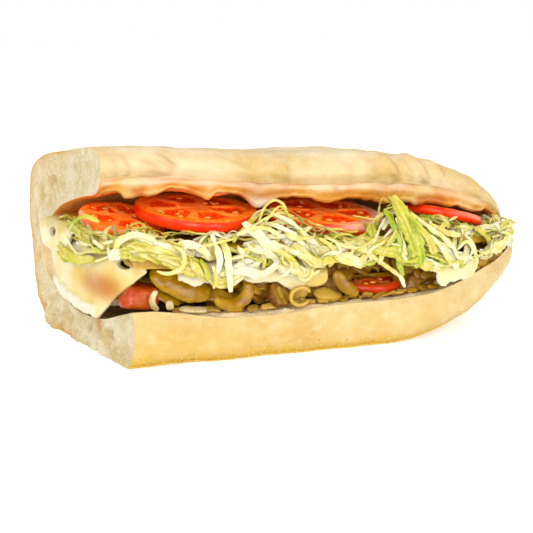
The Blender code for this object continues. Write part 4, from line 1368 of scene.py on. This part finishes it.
# The heap's front seen from above, from the cut end along the open side and round the tip
LETTUCE_OUTLINE = [
    (-100.5, 24), (-98.5, 8), (-95.5, -10), (-92, -26), (-87, -38), (-78, -42.6), (-50, -42.6),
    (-20, -42.6), (10, -42.2), (30, -40.5), (50, -36.5), (66, -29.5), (77, -21.5), (84, -14),
    (88, -6.5), (90, 2), (90, 11),
]
# How high the shreds reach and how low they hang, by X
LETTUCE_TOP = [
    (-110, 46), (-97, 47.5), (-90, 47.5), (-82, 45), (-70, 45.5), (-56, 46), (-42, 46.5),
    (-35, 50), (-28, 52), (-20, 49.5), (-12, 44.5), (2, 43), (12, 46.5), (19, 52),
    (26, 51), (34, 46.5), (48, 43.5), (62, 41), (76, 40), (88, 39), (100, 38),
]
LETTUCE_BOTTOM = [
    (-110, 39), (-96, 41.5), (-84, 42.5), (-74, 39), (-62, 34), (-54, 30), (-44, 33),
    (-30, 32), (-18, 31), (-8, 34), (4, 35), (18, 35), (30, 31), (40, 28),
    (54, 27), (64, 31), (72, 34), (88, 34), (100, 34),
]
# The heap's front in section: share of the way down round it, depth behind the front and share of its height
LETTUCE_FACE = [
    (0, 17, -0.05), (0.25, 8.5, 0), (0.42, 2.5, 0.1), (0.6, -0.6, 0.35), (0.8, -2.2, 0.68),
    (1, -2.6, 1),
]
FACE_LENGTH = 30


FRONT = (0, -1, 0.15)
# Shreds that stand out at the front: width, facing, greenness along it, and the points it passes
STRANDS = [
    (6.6, (0.1, -1, 0.2), (0.5, 0.8), (17.5, -39, 57.5), (19.5, -43.5, 52), (22.5, -46, 45),
     (25, -46.8, 38), (26.5, -46.5, 30.5)),
    (2.2, (-0.3, -1, 0.2), (0.75, 0.95), (15, -39, 53), (16.5, -43.5, 47.5), (18.5, -46, 41),
     (17.5, -47, 34), (20, -46.5, 28)),
    (3.6, (0.4, -1, 0.3), (0.75, 0.45), (22, -42.5, 51.5), (26, -46.5, 46.5), (30.5, -46.6, 41),
     (33, -46, 35.5)),
    (1.2, FRONT, (0.15, 0.4), (18, -43, 50), (19.5, -46, 43), (20, -47.4, 36)),
    (2.4, (0.2, -1, 0.5), (0.3, 0.05), (24, -42, 51), (29.5, -45, 47), (36, -45.5, 42.5), (42, -44, 37.5),
     (46, -43, 32)),
    (1.8, (0, -1, 0.4), (0.1, 0.3), (26, -43.5, 46), (32, -45.8, 42), (37.5, -45.6, 36.5),
     (41.5, -44.6, 30)),
    (2.2, FRONT, (0.55, 0.3), (20, -43.5, 47), (15.5, -46, 43), (11, -46.8, 38), (9.5, -46.8, 33)),
    (1.4, FRONT, (0.4, 0.1), (17.5, -43, 44.5), (12, -46, 41.5), (7, -46.2, 39.5), (2, -46, 35.5)),
    (4.6, (-0.9, -0.4, 0.1), (0.8, 0.6), (-97.5, 18, 43), (-100.2, 11, 41), (-101.2, 5, 37),
     (-99.5, -1, 34.5)),
    (1.6, (-0.9, -0.4, 0.2), (0.5, 0.2), (-98.5, 14, 45), (-100.5, 4, 42), (-99, -6, 37.5),
     (-96.5, -16, 35.5), (-93, -25, 38)),
    (1.2, (-0.9, -0.4, 0.2), (0.2, 0.6), (-99.5, 10, 39), (-99.8, 0, 35), (-97, -8, 34), (-95.5, -14, 37)),
    (1.8, (-0.8, -0.5, 0.3), (0.5, 0.15), (-96, -8, 43.5), (-97, -15, 41), (-94, -23, 41.5), (-90, -31, 44),
     (-84, -37.5, 46.5)),
    (3, (-0.9, -0.5, 0.3), (0.85, 0.6), (-99, 3, 48), (-98.6, -5, 47), (-97, -12, 45), (-94, -18, 43.5)),
    (1.6, (-0.9, -0.5, 0.3), (0.6, 0.3), (-96.8, -1, 48.5), (-96.6, -9, 47.5), (-93.5, -16, 46.5),
     (-90, -22, 46)),
    (2.2, (-0.5, -0.5, 0.7), (0.6, 0.4), (-98.5, -2, 43), (-96, -12, 43.2), (-91, -22, 43.4),
     (-86, -30, 44.2)),
    (1.4, (-0.5, -0.5, 0.7), (0.3, 0.55), (-96.5, -10, 42.8), (-92.5, -20, 43), (-88.5, -30, 43.2),
     (-83, -37.5, 42.5)),
    (2.8, (-0.5, -0.5, 0.7), (0.5, 0.7), (-93.5, -12, 43.4), (-89, -20, 43.8), (-85, -30, 44.4),
     (-79, -38.5, 44)),
    (1, (-0.9, -0.5, 0.3), (0.1, 0.4), (-99.5, 4, 44), (-99, -4, 45.2), (-96, -13, 45), (-94, -20, 43)),
    (2.6, (-0.5, -0.6, 0.6), (0.7, 0.5), (-95.5, -12, 44), (-92, -24, 44.5), (-86, -34, 45.5),
     (-79, -40.5, 46)),
    (1.6, (-0.5, -0.6, 0.6), (0.3, 0.6), (-93.5, -20, 46.5), (-89, -29, 46.5), (-82.5, -37.5, 45.5),
     (-77, -42, 42)),
    (1.3, (-0.5, -0.8, 0.3), (0.5, 0.2), (-92, -26, 42.5), (-87, -35, 43.5), (-80.5, -41, 43),
     (-73, -44, 41)),
    (1.1, (-0.7, -0.5, 0.5), (0.45, 0.1), (-97, -6, 46), (-95, -16, 47), (-91, -25, 47.5),
     (-88.5, -32, 44.5)),
    (3.8, FRONT, (0, 0.1), (-43, -41, 51.5), (-39.5, -45, 47.5), (-35.5, -46.6, 44), (-30, -46.5, 41.5)),
    (2.2, FRONT, 0.04, (-56, -42.5, 48), (-55, -46, 43), (-54.5, -47, 38.5), (-55.3, -46.6, 34)),
    (2.6, FRONT, (0.3, 0), (-53, -42.5, 46), (-51.7, -46.4, 42), (-51, -47.2, 35), (-50.3, -46.8, 27)),
    (1.3, FRONT, 0.5, (-57, -46.4, 37), (-55.8, -47, 33), (-56.8, -46.8, 28.8)),
    (2.3, (-0.3, -0.8, 0.5), (0.3, 0.05), (-90, -38, 41.5), (-90.5, -40.5, 46.5), (-86, -43, 49.5),
     (-80, -44.5, 48.5), (-75, -45.5, 43.5)),
    (2.8, (0, -0.9, 0.3), (0.05, 0.2), (-85, -42, 48.5), (-79.5, -44.8, 46), (-73, -45.8, 44.5),
     (-66, -45.5, 40.5)),
    (1, (0.2, -0.8, 0.3), 0.42, (-36, -38, 50), (-34, -38, 55.5), (-29.5, -37, 58.3), (-25, -36.5, 55.6),
     (-26, -38, 50.5)),
    (1.1, (0, -0.7, 0.6), 0.4, (-40, -40, 49), (-34, -41, 52.5), (-28, -40, 54), (-22.5, -39, 52)),
    (0.8, (0, -0.7, 0.6), 0.5, (-42, -40, 47.5), (-36, -41.5, 50), (-29, -41, 56.5), (-24, -40, 51),
     (-23.5, -41, 47)),
    (1.6, FRONT, 0.12, (-31, -41, 53.5), (-26.5, -43, 51.5), (-21.5, -43.5, 47.5), (-19, -45, 43)),
    (1.8, FRONT, 0.2, (-46, -42, 47), (-41, -44.5, 49.5), (-35, -44.5, 49), (-30, -44, 46)),
    (1.7, FRONT, (0.3, 0.1), (4, -44.5, 40), (8.5, -46.5, 35), (14, -46.5, 31), (19, -45.5, 27.5),
     (21.5, -45, 23)),
    (3.8, (0.1, -1, 0.3), 0.02, (25.5, -43.5, 41.5), (34, -44.5, 38.5), (43, -43, 35.5), (44.8, -42, 32)),
    (1.4, (0.2, -1, 0.1), 0.3, (46.5, -41, 35.5), (50, -41, 38.3), (54, -39.6, 35), (51, -40.4, 31),
     (47.5, -41.2, 32.5)),
    (2.4, (0.1, -0.9, 0.5), (0.5, 0.1), (30, -42, 46), (36, -42.5, 45), (42, -41.5, 42), (48, -40, 41)),
    (2.8, (0.1, -1, 0.2), (0.15, 0.4), (36, -42.5, 40), (41, -43, 34), (45, -42.5, 29.5),
     (50, -40.5, 26.5)),
    (1.6, (0.3, -1, 0.2), (0.5, 0.8), (33, -43.5, 37), (37, -43.8, 32.5), (39, -43.6, 28.5)),
    (2, (0.3, -0.9, 0.3), (0.1, 0.3), (50, -39, 41), (54, -39, 37), (56.5, -38, 31.5), (56, -38, 26)),
    (2.6, (0.3, -0.9, 0.3), (0.5, 0.2), (58, -34, 42), (63, -33, 39), (67, -30.5, 34), (68, -29.5, 29.5)),
    (2, (0.3, -0.8, 0.5), 0.05, (68, -26, 40), (74, -23.5, 41), (79.5, -19.5, 38.5), (85.5, -14.5, 39),
     (90, -10, 37)),
    (1.6, (0.4, -0.9, 0.2), (0.1, 0.5), (72, -25, 35), (78.5, -21.5, 36), (84.5, -16, 33), (88, -12, 29)),
    (1.1, (0.5, -0.8, 0.3), 0.1, (76, -22, 31), (81, -19, 33.5), (86.5, -13.5, 33.5), (91, -9, 30.5)),
    (1.5, (0.5, -0.8, 0), 0.4, (84, -15, 36), (87, -12.5, 31), (86, -14, 27)),
    (1.8, (-0.7, -0.6, 0.4), 0.7, (-101.5, -12, 46.5), (-101, -16, 50.5), (-97.5, -20, 53.5),
     (-93, -24, 52)),
    (3.2, (-0.8, -0.5, 0.2), (0.85, 0.5), (-102.5, 4, 39.5), (-101.5, -6, 37), (-98.5, -15, 36.5),
     (-95, -24, 38.5)),
    (1.2, (-0.8, -0.5, 0.2), (0.2, 0.45), (-101.5, -2, 44), (-99, -12, 38.5), (-96.5, -20, 40.5),
     (-92, -30, 41.5), (-86, -39, 44)),
    (0.9, (-0.8, -0.5, 0.2), (0.3, 0.1), (-100.5, 0, 38), (-98, -12, 35.5), (-94.5, -24, 37.5),
     (-90, -33, 41)),
    (3, FRONT, 0.05, (-70, -43, 44), (-66, -46, 45.5), (-61, -46, 43.5), (-58, -45.5, 40.5)),
    (1.6, FRONT, 0.55, (-14, -43.5, 44), (-10, -45.5, 41), (-8.5, -46, 37), (-11, -46.2, 33.5)),
    (1.4, FRONT, 0.5, (-4, -43.5, 43), (-1.5, -46, 39.5), (-4, -46.6, 36.5), (-7.5, -46, 38.5)),
    (0.9, FRONT, 0.45, (-84, -42.5, 43), (-78, -45, 40.5), (-72, -45.8, 42.5), (-64, -46, 41)),
    (0.9, FRONT, 0.4, (-72, -44.5, 46.5), (-64, -45.8, 44), (-57, -46.2, 45), (-48, -45.5, 46.5)),
    (1, FRONT, 0.5, (-12, -44, 45), (-5, -45.8, 41), (2, -46.2, 40), (9, -45.5, 43.5)),
    (0.9, FRONT, 0.7, (28, -44.5, 36), (35, -45.2, 33.5), (41, -44, 31), (47, -42.5, 31.5)),
]


def under_tomato(x, y):
    """Height of the underside of the tomato slice above a place, or a large one where there is none."""
    lowest = 99
    for centre, radius, thickness, forward, tipward in TOP_TOMATOES:
        if math.hypot(x - centre[0], y - centre[1]) < radius + 1:
            rise = math.tan(math.radians(forward)) * (y - centre[1])
            fall = math.tan(math.radians(tipward)) * (x - centre[0])
            lowest = min(lowest, centre[2] + rise - fall - thickness / 2 - 0.5)
    return lowest


class Heap:
    """The rounded front of the lettuce, as a place for each distance along it and share of the way down."""

    def __init__(self):
        self.line = smooth_path(LETTUCE_OUTLINE, 500)
        steps = np.linalg.norm(np.diff(self.line, axis=0), axis=1)
        self.along = np.concatenate([[0], np.cumsum(steps)])
        self.length = float(self.along[-1])

    def on_line(self, at):
        return [float(np.interp(at, self.along, self.line[:, i])) for i in (0, 1)]

    def point(self, at, down, lift):
        """A place on the front and the way it faces, at a distance along it and a share of the way down."""
        at = min(max(at, 1), self.length - 1)
        x, y = self.on_line(at)
        before, after = self.on_line(at - 1.5), self.on_line(at + 1.5)
        run_x, run_y = after[0] - before[0], after[1] - before[1]
        run = math.hypot(run_x, run_y)
        out_x, out_y = run_y / run, -run_x / run
        shares = [row[0] for row in LETTUCE_FACE]
        depth = float(np.interp(down, shares, [row[1] for row in LETTUCE_FACE]))
        fall = float(np.interp(down, shares, [row[2] for row in LETTUCE_FACE]))
        top, bottom = (float(along_curve(curve, x)) for curve in (LETTUCE_TOP, LETTUCE_BOTTOM))
        depth *= 0.35 + 0.65 * tip_scale(min(x, TIP_X - 4))
        high = math.cos(min(max((down - 0.2) / 0.45, 0), 1) * math.pi / 2)
        x -= out_x * (depth - lift * (1 - high))
        y -= out_y * (depth - lift * (1 - high))
        z = top - fall * (top - bottom) + lift * high - max(down - 1, 0) * FACE_LENGTH
        return (x, y, min(z, under_tomato(x, y))), (out_x * (1 - high), out_y * (1 - high), high + 0.15)


def add_ribbon(shape, points, width, face, green, thickness, curl, twist, seed, steps, taper=0.35):
    """One shred of lettuce: a thin curled strip along a smooth path, ragged where it is wide."""
    path = smooth_path(points, steps)
    out, side = path_frame(path, face)
    t = np.linspace(0, 1, steps)
    angle = (twist * (t - 0.5))[:, None]
    out, side = out * np.cos(angle) + side * np.sin(angle), side * np.cos(angle) - out * np.sin(angle)
    v = np.linspace(-1, 1, 4 if width < 1.7 else 6 if width < 3.4 else 13)
    half = thickness / 2 * (1 - 0.7 * np.abs(v) ** 6)
    across = np.concatenate([v, v[::-1]])
    lift = np.concatenate([half, -half[::-1]])
    ragged = min(width / 5, 1)
    uneven = 1 + 0.26 * noise(path + seed * 3.7, 3.5, seed)
    end = np.abs(2 * t - 1)
    size = (1 - (1 - taper) * end**6) * uneven * width / 2
    far_sides = np.sign(across)[None, :, None] * 20
    torn = 1 + (0.1 + 0.2 * ragged) * noise(path[:, None] + far_sides, 1.2, seed + 5)
    spots = path[:, None] + (across * 0.9)[None, :, None] * width
    ruffle = (0.24 * width + 0.15) * noise(spots, 2 + 0.5 * width, seed + 1) * np.abs(across)
    ruffle = ruffle + 0.1 * noise(spots, 1.2, seed + 4)
    pleats = np.cos(across * 9 + seed) * (width > 3.4)
    bow = curl * width * (np.abs(across) ** 1.4 - 0.4) + 0.05 * width * pleats
    rings = path[:, None] + side[:, None] * (across[None, :] * size[:, None] * torn)[..., None]
    rings = rings + out[:, None] * (lift[None, :] + bow[None, :] + ruffle)[..., None]
    tone = np.linspace(*green, steps) if isinstance(green, tuple) else np.full(steps, green)
    tone = tone + 0.25 * noise(path + seed, 7, seed + 2)
    rib = 0.85 + 0.25 * across**2 - 0.14 * pleats
    tube(shape, rings, {"green": np.clip(tone[:, None] * rib[None, :], 0, 1), "brown": 0})


def leaf_tone(draws, x):
    """How green a shred is: greener towards the middle of the tip half."""
    leafy = 0.30 * math.exp(-(((x - 24) / 18) ** 2)) + 0.14 * math.exp(-(((x + 2) / 16) ** 2))
    leafy += 0.16 * math.exp(-(((x + 84) / 16) ** 2))
    return min(max(draws.gauss(0.26, 0.22) + leafy, 0), 1)


def build_shreds(heap, draws):
    """A bed of shreds that wander over the heap's front."""
    bed = Shape()
    for index in range(LETTUCE_SHREDS):
        at = heap.length * (index + draws.random()) / LETTUCE_SHREDS
        down = draws.uniform(0.02, 0.94) ** 0.85
        high_up = down < 0.3
        heading = draws.gauss(0, 0.7 - 0.25 * (at > heap.length * 0.72))
        turn = draws.gauss(0, 0.07)
        length = draws.uniform(11, 32)
        lift = draws.uniform(-1.4, 1.4)
        swell = draws.uniform(0, 2.8)
        points, faces = [], []
        count = max(int(length / 3), 4)
        for i in range(count):
            share = i / (count - 1)
            place, out = heap.point(at, min(max(down, 0), 1.02), lift + swell * math.sin(math.pi * share))
            points.append(tuple(c + draws.uniform(-0.25, 0.25) for c in place))
            faces.append(out)
            at += math.cos(heading) * length / count
            down += math.sin(heading) * length / count / FACE_LENGTH
            heading += turn + draws.gauss(0, 0.16)
            if not 0 < down < 1:
                heading = -heading
        middle = points[count // 2]
        if middle[0] > 55 and index % 3 == 0:
            continue
        if middle[0] < -88 and middle[2] < 49 and draws.random() < 0.75:
            continue
        width = min(draws.choice((0.8, 1.1, 1.4, 1.9, 2.4, 3, 4, 5.4)), 2.2 if high_up else 9)
        # Shreds high up under the tomatoes are kept at least this green so they don't look grey in the shade:
        # a painted shade colour.
        green = max(leaf_tone(draws, points[0][0]), 0.42 if high_up else 0)
        face = np.mean(faces, axis=0) + np.array([draws.uniform(-0.4, 0.4) for _ in range(3)])
        add_ribbon(
            bed, points, width, face, green, thickness=draws.uniform(0.25, 0.42),
            curl=draws.uniform(-0.16, 0.16), twist=draws.gauss(0, 1.1), seed=index,
            steps=max(14, int(length * (1.25 if width > 3.4 else 1))), taper=draws.uniform(0.3, 0.8),
        )
    piece("lettuce_shreds", bed, MATERIALS["lettuce"], ["lettuce_heap"])


def build_curls(heap, draws):
    """Loose curls on the front: parts of ellipses that lie along it."""
    curls = Shape()
    for index in range(LETTUCE_CURLS):
        at = heap.length * (index + draws.random()) / LETTUCE_CURLS
        down = draws.uniform(0.12, 0.98)
        place, out = heap.point(at, down, draws.uniform(0.4, 2.2))
        if place[0] < -84:
            continue
        radius = draws.uniform(3, 7)
        start, sweep = draws.uniform(0, 6.3), draws.uniform(1.6, 4.2)
        flat = draws.uniform(0.45, 1)
        spin = draws.uniform(0, 3.1)
        out = np.array(out) / np.linalg.norm(out)
        right = np.cross(out, (0, 0, 1) if abs(out[2]) < 0.9 else (1, 0, 0))
        right /= np.linalg.norm(right)
        up = np.cross(right, out)
        points = []
        for share in np.linspace(0, 1, 9):
            angle = start + sweep * share
            a, b = radius * math.cos(angle), radius * flat * math.sin(angle)
            a, b = a * math.cos(spin) - b * math.sin(spin), a * math.sin(spin) + b * math.cos(spin)
            lifted = out * (1.8 * math.sin(math.pi * share))
            points.append(np.array(place) + right * a + up * b * 0.8 + lifted)
        add_ribbon(
            curls, points, draws.choice((0.8, 1, 1.3, 1.8)), out + right * draws.uniform(-1, 1),
            leaf_tone(draws, place[0]), thickness=draws.uniform(0.35, 0.6), curl=draws.uniform(-0.2, 0.2),
            twist=draws.gauss(0, 1.4), seed=500 + index, steps=24,
        )
    piece("lettuce_curls", curls, MATERIALS["lettuce"], ["lettuce_heap"])


def build_lettuce():
    def tones(points):
        return {"green": 0.6 + 0.25 * noise(points, 6, 98), "brown": 0.85}

    # The core shows only in the gaps between the shreds, and its brown is painted shade there.
    shrunk_copy("lettuce_core", "lettuce_heap", 3, MATERIALS["lettuce"], tones)
    draws = random.Random(77)
    heap = Heap()
    build_shreds(heap, draws)
    build_curls(heap, draws)
    shown = Shape()
    for seed, (width, face, green, *points) in enumerate(STRANDS, 700):
        add_ribbon(shown, points, width, face, green, 0.4, 0.12, 0.5, seed, 40, 0.5)
    piece("lettuce_strands", shown, MATERIALS["lettuce"], ["lettuce_heap"])


# ---------------------------------------------------------------- stage


def direction(azimuth, elevation):
    """The way to something seen at these angles in degrees, turned from the open front towards the tip."""
    turn, rise = math.radians(azimuth), math.radians(elevation)
    return np.array([math.sin(turn) * math.cos(rise), -math.cos(turn) * math.cos(rise), math.sin(rise)])


def soft_sun(name, azimuth, elevation, strength, spread):
    """A wide soft lamp far away."""
    data = bpy.data.lights.new(name, "SUN")
    data.energy = strength * math.pi
    data.angle = math.radians(spread)
    lamp = bpy.data.objects.new(name, data)
    bpy.context.scene.collection.objects.link(lamp)
    way = Vector(direction(azimuth, elevation))
    lamp.location = way * 0.6
    lamp.rotation_euler = way.to_track_quat("Z", "Y").to_euler()


def build_stage():
    side = 6
    mesh = bpy.data.meshes.new("floor")
    corners = [(-side, -side, 0), (side, -side, 0), (side, side, 0), (-side, side, 0)]
    mesh.from_pydata(corners, [], [(0, 1, 2, 3)])
    look = Look("pale_floor", 0.6, 0.2)
    cloud = look.spread(look.noise(300, 2), 0.3, 0.7)
    look.set("Base Color", look.mix(cloud, (0.95, 0.95, 0.95, 1), (0.97, 0.97, 0.97, 1)))
    look.set("Emission Color", (1, 1, 1, 1))
    look.set("Emission Strength", 0.3)
    mesh.materials.append(look.material)
    floor = bpy.data.objects.new("floor", mesh)
    bpy.context.scene.collection.objects.link(floor)

    world = bpy.data.worlds.new("studio")
    world.use_nodes = True
    background = world.node_tree.nodes["Background"]
    background.inputs["Color"].default_value = (1, 1, 1, 1)
    seen = world.node_tree.nodes.new("ShaderNodeLightPath")
    strength = world.node_tree.nodes.new("ShaderNodeMapRange")
    world.node_tree.links.new(seen.outputs["Is Camera Ray"], strength.inputs["Value"])
    strength.inputs["To Min"].default_value = SKY_LIGHT
    strength.inputs["To Max"].default_value = 1
    world.node_tree.links.new(strength.outputs["Result"], background.inputs["Strength"])
    bpy.context.scene.world = world
    for name, lamp in LAMPS.items():
        soft_sun(name, *lamp)
    bpy.context.scene.view_settings.view_transform = "Standard"


def build_camera():
    back = direction(*CAMERA_ANGLES)
    data = bpy.data.cameras.new("camera")
    data.lens = 85
    data.sensor_width = 36
    camera = bpy.data.objects.new("camera", data)
    bpy.context.scene.collection.objects.link(camera)
    camera.location = (CAMERA_TARGET + back * CAMERA_DISTANCE + ORIGIN) * MM
    camera.rotation_euler = Vector(-back).to_track_quat("-Z", "Y").to_euler()
    bpy.context.scene.camera = camera


# ---------------------------------------------------------------- the whole sandwich

MATERIALS = {
    "tomato": tomato_material(),
    "seed": seed_material(),
    "cheese": cheese_material(),
    "pepper": pepper_material(),
    "onion": onion_material(),
    "lettuce": lettuce_material(),
}

crust_surface = build_crust()
build_crumb(crust_surface)
build_sauce(crust_surface)
build_cornmeal(crust_surface)
build_slice("tomato_top_1", TOP_TOMATOES[0], 5, 301, ["tomato_slice_1"], cut=True, peeled=0.75)
build_slice("tomato_top_2", TOP_TOMATOES[1], 6, 302, ["tomato_slice_2"])
# Milky here sets how strong the painted highlight on the rim is.
build_slice("tomato_top_3", TOP_TOMATOES[2], 5, 303, ["tomato_slice_3"], milky=0.9)
build_slice("tomato_top_4", TOP_TOMATOES[3], 5, 304, ["tomato_slice_4"], milky=0.4)
# The low slice is partly darkened: painted shade.
build_slice("tomato_low", LOW_TOMATO, 5, 305, ["tomato_low_slice"], stewed=0.55)
build_wedge()
build_all_cheese()
build_peppers()
build_onion()
build_pepper_layer()
build_lettuce()
build_camera()
build_stage()
